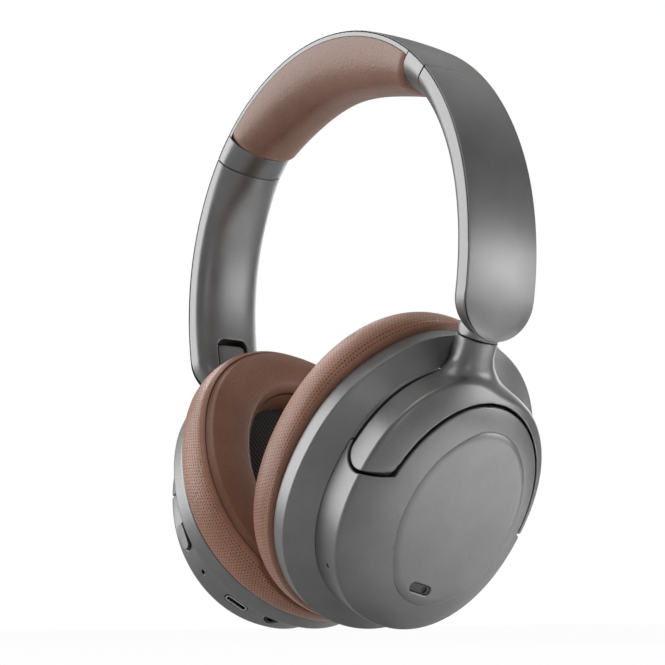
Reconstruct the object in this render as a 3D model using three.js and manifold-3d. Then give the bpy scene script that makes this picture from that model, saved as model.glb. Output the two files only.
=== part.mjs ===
// Over-ear folding headphones with a padded headband, telescopic arms, swivelling forks and oval ear cups.
// Millimetres, +Z up, +X towards the wearer's left ear, -Y towards the wearer's face.
// The origin is the point under the middle of the headband pad that rests on the head.
import * as THREE from "three";
import { mergeVertices } from "three/addons/utils/BufferGeometryUtils.js";
import Module from "manifold-3d";

const wasm = await Module();
wasm.setup();

// ---------------------------------------------------------------- driving dimensions

const clearance = 0.3; // gap kept between neighbouring pieces
const partingGap = 0.9; // open line between the fork and the cup
const facetsRound = 14; // sides of a pin or a bore
const facetsOval = 32; // sides of a cup oval
const facetsInside = 22; // sides of an oval that stays hidden
const mergeTolerance = 0.02; // flat facets split by a cut are merged again within this
const beyond = 99; // a reach past every piece

// Headband: the outer face follows four tangent arcs from the crown to the tip of each arm.
const crownRadius = 82.5;
const crownSweep = 29.6;
const shoulderRadius = 73;
const shoulderSweep = 25.4;
const templeRadius = 83;
const templeSweep = 27.6;
const armRadius = 99;
const armSweep = 26.8;
const bandWidth = 26;
const armWidth = 26.8;
const bandCrown = 0.25; // how far the outer face is crowned across its width
const coverDepth = 1.2; // cover plate, from the crown of its face to its flat back
const seamAt = 68; // distance along the band from the crown to the arm seam
const padEndAt = 57; // distance along the band from the crown to the end of the pad
const lipThickness = 1.1; // bright lip of the frame beside the pad
const channelHalfWidth = 8;
const channelWall = 1.2;
const channelDepth = 6.6; // from the lip's top to the channel's underside
const springWidth = 12;
const springThickness = 0.8;
const springHalfLength = 35;
const padDepthCrown = 20.5; // from the outer face to the pad's underside at the crown
const padDepthEnd = 14.3;
const padEaseOff = 3; // power of the pad's thinning towards its ends
const seamDepth = 12; // D-shaped section at the seam: depth on its centre line
const seamEdgeDepth = 3.7; // depth at its front and back edges
const seamPower = 1.8; // roundness of the D: 2 is an ellipse, larger is squarer
const armDepth = 8.3;
const armEdgeDepth = 6.3;
const armPower = 2.4;
const armTaperLength = 26; // the section changes from the seam over this length
const armWall = 1.7;
const armTipRounding = 11; // the inner side rounds off towards the tip over this length

// Extension: a straight steel strip slides in the collar.
const sliderTurn = 2.52; // degrees by which the strip lies flatter than the band at the seam
const sliderWidth = 12;
const sliderThickness = 1.2;
const sliderInBand = 27;
const sliderInArm = 13;
const sliderDepthAtSeam = 6.2;

// Knuckle at the foot of the arm, with the fold pin and the swivel shaft.
const windowWidth = 12.8;
const windowLength = 21.87; // from the top of the window to the arm's tip, along the band
const windowFloorDepth = 2.4;
const knuckleWidth = 11.8;
const knuckleLength = 19.67; // from the top of the knuckle to the arm's tip
const foldPinFromTip = 11.77;
const foldPinDepth = 6;
const foldPinRadius = 1.5;
const foldPinLength = 20;
const neckDrop = 12.3; // from the fold pin down the swivel axis to the end of the knuckle
const neckShift = -0.17; // from the fold pin out to the swivel axis
const neckRadius = 6.2;
const swivelGap = 0.6;
const shaftRadius = 2.4;
const shaftInKnuckle = 5.5;
const shaftInFork = 7;

// Ear cup: local x points outward from the ear, local z up the oval.
const cupDrop = 49.7; // from the neck down the swivel axis to the cup's origin
const cupInset = 13.66; // from the swivel axis in to the cup's origin
const toeIn = 26.8;
const restSwivel = -2.75;
const rake = -14.2;
const rimCentreY = -0.9;
const rimHalfWidth = 42.3;
const rimHalfHeight = 49.4;
const rimPower = 2.11;
const rimHeight = 6.2;
const rimWall = 2;
const wallHalfWidth = 34.7; // oval of the outer shell and the fork
const wallHalfHeight = 41.1;
const wallPower = 2.18;
const wallCentreY = -0.5;
const wallCentreZ = -0.9;
const wallStart = 11.4; // where the shell's side wall begins, from the rim's front
const forkStart = wallStart + 1.7; // where the fork's side wall begins
const wallEnd = 21.9; // where it turns into the domed face
const edgeRounding = 0.6;
const domeHeight = 6.2;
const domePower = 4;
const shellWall = 2;
const discCentreY = 2.3; // part of the face inside the fork
const discHalfWidth = 28;
const discHalfHeight = 34;
const plateCentreY = 3.2;
const plateCentreZ = -1.6;
const plateHalfWidth = 21.6;
const plateHalfHeight = 28.8;
const plateBack = 26.3;
const plateEdge = 27.3;
const plateFace = 27.9;
const cavityTop = 23.8;
const housingFloor = 1.8;
const floorHalfWidth = 19.6; // opening in the housing's floor
const floorHalfHeight = 25.5;

// Fork and its pivots.
const lobeRadius = 6.4; // each fork tip is a round lobe about the tilt axis
const pivotX = forkStart + lobeRadius;
const pivotZ = 6.3;
const pivotRadius = 1.8;
const pivotInner = 18.6;
const pivotOuter = 31.2;
const bossInner = 18;
const bossOuter = 21.8;
const bossHalfHeight = 3.8;
const bossTop = 22.4;

// Inside the cup.
const ringHalfWidth = 22.5;
const ringHalfHeight = 31.8;
const ringFront = -0.3;
const ringBack = 1.2;
const ringStep = 4.3;
const ringStepDepth = 0.7;
const clothThickness = 0.4;
const baffleThickness = 1.8;
const driverRadius = 20;
const driverFlange = 2.4;
const magnetRadius = 12.5;
const magnetBack = 12.4;
const screwY = 26.5;
const screwZ = 29.5;
const screwRadius = 1;
const screwHeadRadius = 1.9;
const screwHeadHeight = 0.9;
const screwLength = 6;
const screwBossRadius = 2.7;

// Ear cushion.
const cushionBack = -0.6;
const cushionThickness = 13.2; // from its back to the outer seam
const cushionCrown = 2.6; // how far its front stands beyond the outer seam
const cushionBulge = 2.2;
const openingHalfWidth = 24;
const openingHalfHeight = 33.5;
const seamGroove = 0.7;
const cushionLip = 3.8; // how far the lip rolls back to the inner wall
const cushionMeetingGap = 2; // distance kept by each cushion from the mid-plane

// Electronics.
const batterySize = [3.8, 24, 32];
const boardThickness = 1.2;
const boardHalfWidth = 17;
const boardHalfHeight = 24;
const wallCutDepth = 6; // how far a socket's opening is cut into the wall
const usbWidth = 8.9;
const usbHeight = 3.2;
const usbDepth = 7.3;
const jackHole = 5.2;
const jackBore = 3.6;
const jackLength = 13;
const buttonLength = 9.2;
const buttonWidth = 3.2;
const buttonDepth = 3.4;
const buttonProud = 0.5;
const pinholeRadius = 0.6;
const micLength = 8;
const micWidth = 2.9;
const micDepth = 1;

// ---------------------------------------------------------------- materials

const finish = (color, roughness, metalness) =>
  new THREE.MeshStandardMaterial({ color, roughness, metalness });
const shellGrey = finish(0x6e6e70, 0.42, 0.55);
const rimSilver = finish(0x9a9a9c, 0.35, 0.6);
const leatherBrown = finish(0x8a6353, 0.7, 0);
const steel = finish(0xb4b4b6, 0.3, 1);
const blackPlastic = finish(0x18181a, 0.6, 0);
const darkCloth = finish(0x2a2a2c, 0.9, 0);
const boardGreen = finish(0x1f4a34, 0.6, 0);
const cellBlue = finish(0x5a6470, 0.5, 0.1);

// ---------------------------------------------------------------- solids from rings of points

const radians = THREE.MathUtils.degToRad;
const lerp = THREE.MathUtils.lerp;

function meshFrom(points, triangles) {
  const geometry = new THREE.BufferGeometry();
  const flat = points.flatMap((p) => [p.x, p.y, p.z]);
  geometry.setAttribute("position", new THREE.Float32BufferAttribute(flat, 3));
  geometry.setIndex(triangles);
  return facedOut(geometry);
}

// Turns a closed mesh inside out where its signed volume is negative.
function facedOut(geometry) {
  const p = geometry.getAttribute("position");
  const index = geometry.getIndex();
  const corner = [0, 1, 2].map(() => new THREE.Vector3());
  let volume = 0;
  for (let i = 0; i < index.count; i += 3) {
    corner.forEach((c, k) => c.fromBufferAttribute(p, index.getX(i + k)));
    volume += corner[0].dot(corner[1].clone().cross(corner[2]));
  }
  return volume < 0 ? flipped(geometry) : geometry;
}

function flipped(geometry) {
  const index = geometry.getIndex();
  for (let i = 0; i < index.count; i += 3) {
    const second = index.getX(i + 1);
    index.setX(i + 1, index.getX(i + 2));
    index.setX(i + 2, second);
  }
  return geometry;
}

// A solid through sections. Each section is a closed outline of 2-D points, and place gives their 3-D points.
function loft(sections, place, loop = false) {
  const count = sections[0].length;
  const points = sections.flatMap((outline, i) => outline.map((v) => place(v, i)));
  const triangles = [];
  const last = loop ? sections.length : sections.length - 1;
  for (let i = 0; i < last; i++) {
    const a = i * count;
    const b = ((i + 1) % sections.length) * count;
    for (let j = 0; j < count; j++) {
      const k = (j + 1) % count;
      triangles.push(a + j, a + k, b + k, a + j, b + k, b + j);
    }
  }
  if (!loop) {
    const end = (sections.length - 1) * count;
    const reversed = !THREE.ShapeUtils.isClockWise(sections[0]);
    for (const [p, q, r] of THREE.ShapeUtils.triangulateShape(sections[0], [])) {
      triangles.push(...(reversed ? [p, r, q] : [p, q, r]));
    }
    for (const [p, q, r] of THREE.ShapeUtils.triangulateShape(sections.at(-1), [])) {
      triangles.push(...(reversed ? [end + p, end + q, end + r] : [end + p, end + r, end + q]));
    }
  }
  return meshFrom(points, triangles);
}

// Outline of a superellipse: power 2 is an ellipse, larger powers are squarer.
function oval(halfWidth, halfHeight, power, count = facetsOval, centreY = 0, centreZ = 0) {
  return Array.from({ length: count }, (_, i) => {
    const t = (2 * Math.PI * i) / count;
    const c = Math.cos(t);
    const s = Math.sin(t);
    const y = halfWidth * Math.sign(c) * Math.abs(c) ** (2 / power);
    const z = halfHeight * Math.sign(s) * Math.abs(s) ** (2 / power);
    return new THREE.Vector2(centreY + y, centreZ + z);
  });
}

const rimRing = (x, inset = 0) => ({
  x,
  outline: oval(rimHalfWidth - inset, rimHalfHeight - inset, rimPower, facetsOval, rimCentreY),
});

// Oval of the pieces that fit inside the rim's wall.
const rimSeatRing = (x) => ({
  x,
  outline: oval(
    rimHalfWidth - rimWall - clearance, rimHalfHeight - rimWall - clearance, rimPower,
    facetsInside, rimCentreY,
  ),
});

const wallRing = (x, inset = 0) => ({
  x,
  outline: oval(
    wallHalfWidth - inset, wallHalfHeight - inset, wallPower, facetsOval, wallCentreY, wallCentreZ,
  ),
});

const plainRing = (x, halfWidth, halfHeight, power = 2, count = facetsOval) => ({
  x,
  outline: oval(halfWidth, halfHeight, power, count),
});

const discRing = (x, margin) => ({
  x,
  outline: oval(discHalfWidth + margin, discHalfHeight + margin, 2, facetsOval, discCentreY, 0),
});

const plateRing = (x, margin) => ({
  x,
  outline: oval(
    plateHalfWidth + margin, plateHalfHeight + margin, 2, facetsOval, plateCentreY, plateCentreZ,
  ),
});

const hiddenRing = (x, halfWidth, halfHeight, power = 2) =>
  plainRing(x, halfWidth, halfHeight, power, facetsInside);

// A solid of oval rings stacked along local x; a loop of rings gives an open ring-shaped solid.
function stack(rings, loop = false) {
  return loft(rings.map((r) => r.outline), (v, i) => new THREE.Vector3(rings[i].x, v.x, v.y), loop);
}

// ---------------------------------------------------------------- joining and cutting

function solid(geometry) {
  const bare = new THREE.BufferGeometry();
  bare.setAttribute("position", geometry.getAttribute("position").clone());
  if (geometry.getIndex()) bare.setIndex(geometry.getIndex().clone());
  const merged = mergeVertices(bare, 1e-5);
  return new wasm.Manifold(new wasm.Mesh({
    numProp: 3,
    vertProperties: new Float32Array(merged.getAttribute("position").array),
    triVerts: new Uint32Array(merged.getIndex().array),
  }));
}

function geometryOf(manifold) {
  const mesh = manifold.asOriginal().simplify(mergeTolerance).getMesh();
  const geometry = new THREE.BufferGeometry();
  geometry.setAttribute("position", new THREE.Float32BufferAttribute(mesh.vertProperties, 3));
  geometry.setIndex(Array.from(mesh.triVerts));
  return geometry;
}

const cut = (base, ...tools) =>
  geometryOf(tools.reduce((body, tool) => body.subtract(solid(tool)), solid(base)));
const join = (base, ...others) =>
  geometryOf(others.reduce((body, other) => body.add(solid(other)), solid(base)));
const common = (a, b) => geometryOf(solid(a).intersect(solid(b)));

// A box between two corners.
function box(low, high) {
  const size = high.map((v, i) => v - low[i]);
  const geometry = new THREE.BoxGeometry(...size);
  return geometry.translate(...low.map((v, i) => v + size[i] / 2));
}

// A straight prism on a local plane: across and up span its section, along is its length axis.
function prism(outline, from, to, origin, across, up) {
  const along = across.clone().cross(up);
  return loft([outline, outline], (v, i) => origin.clone()
    .addScaledVector(across, v.x)
    .addScaledVector(up, v.y)
    .addScaledVector(along, i ? to : from));
}

const disc = (radius, count = facetsRound) => oval(radius, radius, 2, count);
const smallDisc = (radius) => disc(radius, 8);

// A slot outline: length over the round ends, width between the flats.
function slot(length, width, steps = 6) {
  const reach = (length - width) / 2;
  const ends = [];
  for (const [side, start] of [[1, -90], [-1, 90]]) {
    for (let i = 0; i <= steps; i++) {
      const t = radians(start + (180 * i) / steps);
      const y = (width / 2) * Math.sin(t);
      ends.push(new THREE.Vector2(side * reach + (width / 2) * Math.cos(t), y));
    }
  }
  return ends;
}

// ---------------------------------------------------------------- the headband's path

const arcs = [
  [crownRadius, radians(crownSweep)],
  [shoulderRadius, radians(shoulderSweep)],
  [templeRadius, radians(templeSweep)],
  [armRadius, radians(armSweep)],
];
const bandLength = arcs.reduce((sum, [radius, sweep]) => sum + radius * sweep, 0);
const windowTopAt = bandLength - windowLength;
const knuckleTopAt = bandLength - knuckleLength;
const foldPinAt = bandLength - foldPinFromTip;

// Point and heading at a distance along the outer face; heading is measured down from +X.
function bandAt(distance) {
  let x = 0;
  let z = 0;
  let heading = 0;
  let left = distance;
  for (const [radius, sweep] of arcs) {
    const isLast = radius === arcs.at(-1)[0] && sweep === arcs.at(-1)[1];
    const turn = isLast ? left / radius : Math.min(left / radius, sweep);
    x += radius * (Math.sin(heading + turn) - Math.sin(heading));
    z += radius * (Math.cos(heading + turn) - Math.cos(heading));
    heading += turn;
    left -= turn * radius;
    if (left <= 1e-9) break;
  }
  return { x, z, heading };
}

// A 3-D point from the distance along the band, the offset across it and the depth below its face.
function onBand(distance, y, depth) {
  const { x, z, heading } = bandAt(Math.abs(distance));
  const side = distance < 0 ? -1 : 1;
  return new THREE.Vector3(
    side * (x - depth * Math.sin(heading)), y, z - depth * Math.cos(heading),
  );
}

const evenly = (from, to, steps) =>
  Array.from({ length: steps + 1 }, (_, i) => lerp(from, to, i / steps));

function alongBand(distances, sectionAt) {
  return loft(distances.map(sectionAt), (v, i) => onBand(distances[i], v.x, v.y));
}

const halfWidthAt = (distance) => {
  const t = THREE.MathUtils.smoothstep(Math.abs(distance), seamAt, windowTopAt);
  return lerp(bandWidth, armWidth, t) / 2;
};

// The arm ends in a full half-round: distances bunch up there so that it stays smooth.
const tipRadius = armWidth / 2;
const tipStart = bandLength - tipRadius;
const roundedEnd = evenly(0, 86, 6).map((angle) => tipStart + tipRadius * Math.sin(radians(angle)));
const tipHalfWidth = (distance) =>
  distance <= tipStart
    ? halfWidthAt(distance)
    : Math.sqrt(Math.max(tipRadius ** 2 - (distance - tipStart) ** 2, 0));

// Cover plate section: crowned face, small side, flat back.
function coverSection(halfWidth, steps = 4) {
  const crown = bandCrown * Math.min(1, (halfWidth / (bandWidth / 2)) ** 2);
  const face = evenly(-1, 1, steps).map((t) => new THREE.Vector2(
    t * halfWidth, crown * t * t,
  ));
  return [...face, new THREE.Vector2(halfWidth, coverDepth), new THREE.Vector2(-halfWidth, coverDepth)];
}

// D-shaped housing section below the cover: from an edge depth round to the depth on the centre line.
function housingSection(halfWidth, edge, depth, power, steps = 10) {
  const top = coverDepth + clearance;
  const round = evenly(0, 180, steps).map((angle) => {
    const c = Math.cos(radians(angle));
    const t = Math.sin(radians(angle));
    return new THREE.Vector2(
      -halfWidth * Math.sign(c) * Math.abs(c) ** (2 / power),
      edge + (depth - edge) * Math.abs(t) ** (2 / power),
    );
  });
  return [new THREE.Vector2(-halfWidth, top), ...round, new THREE.Vector2(halfWidth, top)];
}

// ---------------------------------------------------------------- headband pieces

function headbandCover() {
  const end = seamAt - clearance / 2;
  return alongBand(evenly(-end, end, 28), () => coverSection(bandWidth / 2));
}

function headbandFrame() {
  const end = padEndAt + clearance;
  const top = coverDepth + clearance;
  const under = top + lipThickness;
  const floor = top + channelDepth;
  const outer = channelHalfWidth;
  const inner = channelHalfWidth - channelWall;
  const half = bandWidth / 2;
  const section = [
    [-half, top], [-half, under], [-outer, under], [-outer, floor], [outer, floor], [outer, under],
    [half, under], [half, top], [inner, top], [inner, floor - channelWall],
    [-inner, floor - channelWall], [-inner, top],
  ].map(([y, depth]) => new THREE.Vector2(y, depth));
  return alongBand(evenly(-end, end, 22), () => section);
}

function springBand() {
  const bottom = coverDepth + clearance + channelDepth - channelWall - clearance;
  const half = springWidth / 2;
  const section = [
    [-half, bottom - springThickness], [half, bottom - springThickness], [half, bottom], [-half, bottom],
  ].map(([y, depth]) => new THREE.Vector2(y, depth));
  return alongBand(evenly(-springHalfLength, springHalfLength, 20), () => section);
}

// Pad: a fat D that wraps the channel, fuller at the crown than at its ends.
const padTop = coverDepth + clearance + lipThickness + clearance;
const padDepthAt = (distance) =>
  lerp(padDepthCrown, padDepthEnd, (Math.abs(distance) / padEndAt) ** padEaseOff);

function padSection(distance, steps = 14) {
  const nearEnd = (padEndAt - Math.abs(distance)) / 4;
  const shrink = Math.sqrt(1 - 0.16 * Math.max(0, 1 - nearEnd) ** 2);
  const half = (bandWidth / 2) * shrink;
  const drop = (padDepthAt(distance) - padTop) * shrink;
  const outside = evenly(0, 180, steps).map((angle) => {
    const t = radians(angle);
    const s = Math.sin(t);
    const c = Math.cos(t);
    return new THREE.Vector2(
      -half * Math.sign(c) * Math.abs(c) ** 0.82, padTop + drop * s ** 0.86,
    );
  });
  const inner = channelHalfWidth + clearance;
  const floor = coverDepth + clearance + channelDepth + clearance;
  const inside = [[inner, padTop], [inner, floor], [-inner, floor], [-inner, padTop]];
  return [...outside, ...inside.map(([y, depth]) => new THREE.Vector2(y, depth))];
}

function headbandPad() {
  const end = padEndAt;
  const stations = [-end, -end + 1.5, ...evenly(-end + 4, end - 4, 22), end - 1.5, end];
  return alongBand(stations, (distance) => padSection(distance));
}

// The strip's frame: its origin on the seam, running back up into the band and down into the arm.
const sliderHeading = bandAt(seamAt).heading - radians(sliderTurn);
const sliderDirection = new THREE.Vector3(Math.cos(sliderHeading), 0, -Math.sin(sliderHeading));
const acrossBand = new THREE.Vector3(0, 1, 0);
const sliderNormal = sliderDirection.clone().cross(acrossBand);
const sliderOrigin = onBand(seamAt, 0, sliderDepthAtSeam);

function sliderBar(margin, back, forward) {
  const halfWidth = sliderWidth / 2 + margin;
  const halfThickness = sliderThickness / 2 + margin;
  const outline = [
    [-halfWidth, -halfThickness], [halfWidth, -halfThickness],
    [halfWidth, halfThickness], [-halfWidth, halfThickness],
  ].map(([y, t]) => new THREE.Vector2(y, t));
  return loft([outline, outline], (v, i) => sliderOrigin.clone()
    .addScaledVector(acrossBand, v.x)
    .addScaledVector(sliderNormal, v.y)
    .addScaledVector(sliderDirection, i ? forward : -back));
}

function collar() {
  const from = padEndAt + 2 * clearance;
  const to = seamAt - clearance / 2;
  const body = alongBand(evenly(from, to, 4), (distance) => {
    const depth = lerp(padDepthEnd - 0.8, seamDepth, (distance - from) / (to - from));
    return housingSection(bandWidth / 2, seamEdgeDepth, depth, seamPower);
  });
  return cut(body, sliderBar(clearance, sliderInBand + 2, sliderInArm));
}

// ---------------------------------------------------------------- arm pieces

// The arm's section eases from the seam's D to a flatter one, and closes towards the tip.
function armSection(distance) {
  const t = THREE.MathUtils.smoothstep(distance, seamAt, seamAt + armTaperLength);
  const past = Math.max(0, distance - (bandLength - armTipRounding)) / armTipRounding;
  const top = coverDepth + clearance;
  const tipShare = 0.4;
  const close = tipShare + (1 - tipShare) * Math.sqrt(1 - Math.min(1, past) ** 2);
  const edge = lerp(seamEdgeDepth, armEdgeDepth, t);
  const depth = lerp(seamDepth, armDepth, t);
  return {
    edge: top + (edge - top) * close,
    depth: top + (depth - top) * close,
    power: lerp(seamPower, armPower, t),
  };
}
const armStations = [...evenly(seamAt + clearance / 2, tipStart - 2, 10), ...roundedEnd];

const armCover = () => alongBand(armStations, (distance) => coverSection(tipHalfWidth(distance)));

function armShell() {
  const body = alongBand(armStations, (distance) => {
    const { edge, depth, power } = armSection(distance);
    return housingSection(tipHalfWidth(distance), edge, depth, power);
  });
  const cavity = alongBand(evenly(seamAt + sliderInArm + 3, windowTopAt - 3, 8), (distance) => {
    const half = halfWidthAt(distance) - armWall;
    const floor = armSection(distance).edge - 0.3;
    return [[-half, 0], [half, 0], [half, floor], [-half, floor]]
      .map(([y, depth]) => new THREE.Vector2(y, depth));
  });
  return cut(
    body, cavity, kneeWindow(), sliderBar(clearance, sliderInBand, sliderInArm + 2),
    foldPinBar(foldPinRadius + 0.15, foldPinLength + 2 * clearance),
  );
}

// The opening in the inner side that the knuckle stands in, with rounded top corners.
function kneeWindow() {
  const half = windowWidth / 2;
  const corner = 3;
  const reach = 30;
  const steps = 3;
  const widths = evenly(0, 90, steps).map((angle) => {
    const t = radians(angle);
    return [windowTopAt + corner * (1 - Math.sin(t)), half - corner + corner * Math.cos(t)];
  }).reverse();
  const stations = [
    ...widths, ...evenly(windowTopAt + corner + 2, bandLength + 6, 6).map((at) => [at, half]),
  ];
  return loft(
    stations.map(([, width]) => [
      [-width, windowFloorDepth], [width, windowFloorDepth], [width, reach], [-width, reach],
    ].map(([y, depth]) => new THREE.Vector2(y, depth))),
    (v, i) => onBand(stations[i][0], v.x, v.y),
  );
}

function foldPinBar(radius, length) {
  return prism(
    disc(radius), -length / 2, length / 2, onBand(foldPinAt, 0, foldPinDepth),
    new THREE.Vector3(0, 0, 1), new THREE.Vector3(1, 0, 0),
  );
}

const sliderStrip = () => sliderBar(0, sliderInBand, sliderInArm);

// The swivel axis runs down the knuckle, parallel to the plane of the cup.
const swivelAxis = new THREE.Vector3(Math.sin(radians(toeIn)), 0, Math.cos(radians(toeIn)));
const swivelAcross = new THREE.Vector3(Math.cos(radians(toeIn)), 0, -Math.sin(radians(toeIn)));
const neck = onBand(foldPinAt, 0, foldPinDepth)
  .addScaledVector(swivelAxis, -neckDrop)
  .addScaledVector(swivelAcross, neckShift);
const cupOrigin = neck.clone()
  .addScaledVector(swivelAxis, -cupDrop)
  .addScaledVector(swivelAcross, -cupInset);

function shaftBar(radius, up, down) {
  return prism(disc(radius), -down, up, neck, swivelAcross, acrossBand);
}

function knuckle() {
  const count = 20;
  const inArm = (distance, depth, halfDepth, halfWidth, power) => {
    const { heading } = bandAt(distance);
    const inward = new THREE.Vector3(-Math.sin(heading), 0, -Math.cos(heading));
    return { centre: onBand(distance, 0, depth), out: inward.negate(), halfDepth, halfWidth, power };
  };
  const onAxis = (up, halfDepth, halfWidth, power, shift = 0) => ({
    centre: neck.clone().addScaledVector(swivelAxis, up).addScaledVector(swivelAcross, shift),
    out: swivelAcross, halfDepth, halfWidth, power,
  });
  const half = knuckleWidth / 2;
  const stations = [
    inArm(knuckleTopAt, 5.9, 3.1, half, 7),
    inArm(knuckleTopAt + 0.8, 5.9, 3.2, half, 7),
    inArm(foldPinAt, 6, 3.3, half, 6),
    inArm(foldPinAt + 5, 6.4, 3.6, half, 5),
    onAxis(3.4, 4.9, half, 3.4, 0.5),
    onAxis(swivelGap, neckRadius, neckRadius, 2.3),
  ];
  const body = loft(
    stations.map((s) => oval(s.halfDepth, s.halfWidth, s.power, count)),
    (v, i) => stations[i].centre.clone()
      .addScaledVector(stations[i].out, v.x)
      .addScaledVector(acrossBand, v.y),
  );
  return cut(
    body, shaftBar(shaftRadius + 0.15, shaftInKnuckle + clearance, 2),
    foldPinBar(foldPinRadius + 0.15, knuckleWidth + 2),
  );
}

// ---------------------------------------------------------------- cup shapes, in the cup's own frame

// Side wall, rounded edge and domed face of the outer body, inset by a wall thickness.
function outerRings(inset, bottom, top) {
  const rings = [wallRing(bottom, inset), wallRing(Math.min(wallEnd - edgeRounding, top), inset)];
  const faceInset = inset + edgeRounding;
  if (wallEnd - inset < top) rings.push(wallRing(wallEnd - inset * 0.7, faceInset));
  for (const share of [0.9, 0.8, 0.68, 0.54, 0.38]) {
    const x = wallEnd + domeHeight * (1 - share ** domePower) - inset;
    const drawIn = faceInset + (1 - share) * (wallHalfHeight - faceInset);
    if (x < top && share * wallHalfWidth > 6) {
      rings.push({
        x,
        outline: oval(
          (wallHalfWidth - faceInset) * share, wallHalfHeight - drawIn, lerp(2, wallPower, share),
          facetsOval, wallCentreY * share, wallCentreZ * share,
        ),
      });
    }
  }
  return rings;
}

// Everything on the fork's side of the split: all that is above the tilt axis and a round lobe
// below it, less the disc. The lobe is centred on the tilt axis, so the gap stays even as the cup tilts.
function forkRegion(margin, inset) {
  const low = wallStart - 6;
  const high = wallEnd + domeHeight + 10;
  const radius = lobeRadius + margin;
  const lobe = evenly(180, 360, 10).map((angle) => new THREE.Vector2(
    pivotX + radius * Math.cos(radians(angle)), pivotZ + radius * Math.sin(radians(angle)),
  ));
  const outline = [
    new THREE.Vector2(low, 80), new THREE.Vector2(low, pivotZ), ...lobe,
    new THREE.Vector2(high, pivotZ), new THREE.Vector2(high, 80),
  ];
  const slab = loft([outline, outline], (v, i) => new THREE.Vector3(v.x, i ? 80 : -80, v.y));
  const around = partingGap - margin - inset;
  return cut(slab, stack([discRing(low - 5, around), discRing(high + 5, around)]));
}

function cupShell(extraCuts) {
  const outside = cut(stack(outerRings(0, wallStart + clearance, beyond)), forkRegion(partingGap, 0));
  const inside = cut(
    stack(outerRings(shellWall, wallStart - 4, beyond)), forkRegion(partingGap + shellWall, 0),
    box([cavityTop, -80, -80], [cavityTop + 20, 80, 80]),
  );
  const seat = stack([plateRing(plateBack - clearance, clearance), plateRing(plateBack + 10, clearance)]);
  const pinHoles = [-1, 1].map((side) => pivotBar(side, pivotRadius + 0.4));
  return cut(outside, inside, seat, ...pinHoles, ...extraCuts);
}

function cupPlate() {
  const body = stack([
    plateRing(plateBack, 0), plateRing(plateEdge, 0), plateRing(lerp(plateEdge, plateFace, 0.68), -1),
    plateRing(plateFace, -2.6),
  ]);
  return cut(body, micBar(micLength, micWidth, plateFace - micDepth - 0.01, plateFace + 5));
}

const micCentre = [1.7, -25.2];
const micTurn = radians(-14);

function micBar(length, width, from, to) {
  const across = new THREE.Vector3(0, Math.cos(micTurn), -Math.sin(micTurn));
  const up = new THREE.Vector3(0, Math.sin(micTurn), Math.cos(micTurn));
  const origin = new THREE.Vector3(0, ...micCentre);
  return prism(slot(length, width), from, to, origin, across, up);
}

function micInsert() {
  const floor = plateFace - micDepth;
  const body = micBar(micLength - 2 * clearance, micWidth - 2 * clearance, floor + 0.05, floor + 0.45);
  const port = prism(
    disc(0.7, 10), floor - 1, plateFace, new THREE.Vector3(0, micCentre[0] + 2.2, micCentre[1] + 0.5),
    new THREE.Vector3(0, 1, 0), new THREE.Vector3(0, 0, 1),
  );
  return cut(body, port);
}

function pivotBar(side, radius, from = pivotInner, to = pivotOuter) {
  const origin = new THREE.Vector3(pivotX, 0, pivotZ);
  return prism(
    disc(radius), side > 0 ? from : -to, side > 0 ? to : -from, origin,
    new THREE.Vector3(0, 0, 1), new THREE.Vector3(1, 0, 0),
  );
}

// Housing: rim, conical shoulder and a ring-shaped floor, one closed loop of rings.
function cupHousing() {
  const top = wallStart - clearance;
  const ledge = forkStart - partingGap;
  const between = (x, share, inset = 0) => ({
    x,
    outline: oval(
      lerp(rimHalfWidth, wallHalfWidth, share) - inset, lerp(rimHalfHeight, wallHalfHeight, share) - inset,
      lerp(rimPower, wallPower, share), facetsOval, lerp(rimCentreY, wallCentreY, share), wallCentreZ * share,
    ),
  });
  const body = stack([
    rimRing(0, 0.4), rimRing(0.4), rimRing(rimHeight - 0.5), rimRing(rimHeight, 0.5),
    between(top - 1.2, 0.82), between(top, 0.98), between(ledge, 1),
    plainRing(ledge, floorHalfWidth, floorHalfHeight),
    plainRing(top - housingFloor, floorHalfWidth, floorHalfHeight),
    between(top - housingFloor, 1, 1.6), rimRing(rimHeight - 1.4, rimWall), rimRing(0, rimWall),
  ], true);
  const bosses = [-1, 1].map((side) => {
    const low = [top - housingFloor + 0.2, side > 0 ? bossInner : -bossOuter, pivotZ - bossHalfHeight];
    const high = [bossTop, side > 0 ? bossOuter : -bossInner, pivotZ + bossHalfHeight];
    return box(low, high);
  });
  const screwBosses = screwPlaces.map(([y, z]) => prism(
    smallDisc(screwBossRadius), ringBack + baffleThickness + 2 * clearance, top - housingFloor,
    new THREE.Vector3(0, y, z), new THREE.Vector3(0, 1, 0), new THREE.Vector3(0, 0, 1),
  ));
  const underShell = cut(
    box([top, -80, -80], [top + 20, 80, 80]), forkRegion(partingGap - clearance, 0),
  );
  const joined = join(cut(common(join(body, ...screwBosses), stack([
    rimRing(-1), rimRing(rimHeight - 0.5), between(top, 0.98), between(ledge, 1), between(ledge + 0.1, 1),
  ])), underShell), ...bosses);
  const pinHoles = [-1, 1].map((side) => pivotBar(side, pivotRadius + 0.15, pivotInner - 0.3, pivotOuter));
  return cut(joined, ...pinHoles, ...screwPlaces.map(([y, z]) => screwBar(y, z, screwRadius + 0.15, beyond)));
}

const screwPlaces = [[-1, -1], [-1, 1], [1, -1], [1, 1]].map(([a, b]) => [a * screwY, b * screwZ]);
const baffleFront = ringBack + clearance;

function screwBar(y, z, radius, length) {
  const from = baffleFront + 0.1 + screwHeadHeight - 0.2;
  return prism(
    smallDisc(radius), from, from + Math.min(length, screwLength),
    new THREE.Vector3(0, y, z), new THREE.Vector3(0, 1, 0), new THREE.Vector3(0, 0, 1),
  );
}

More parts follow.
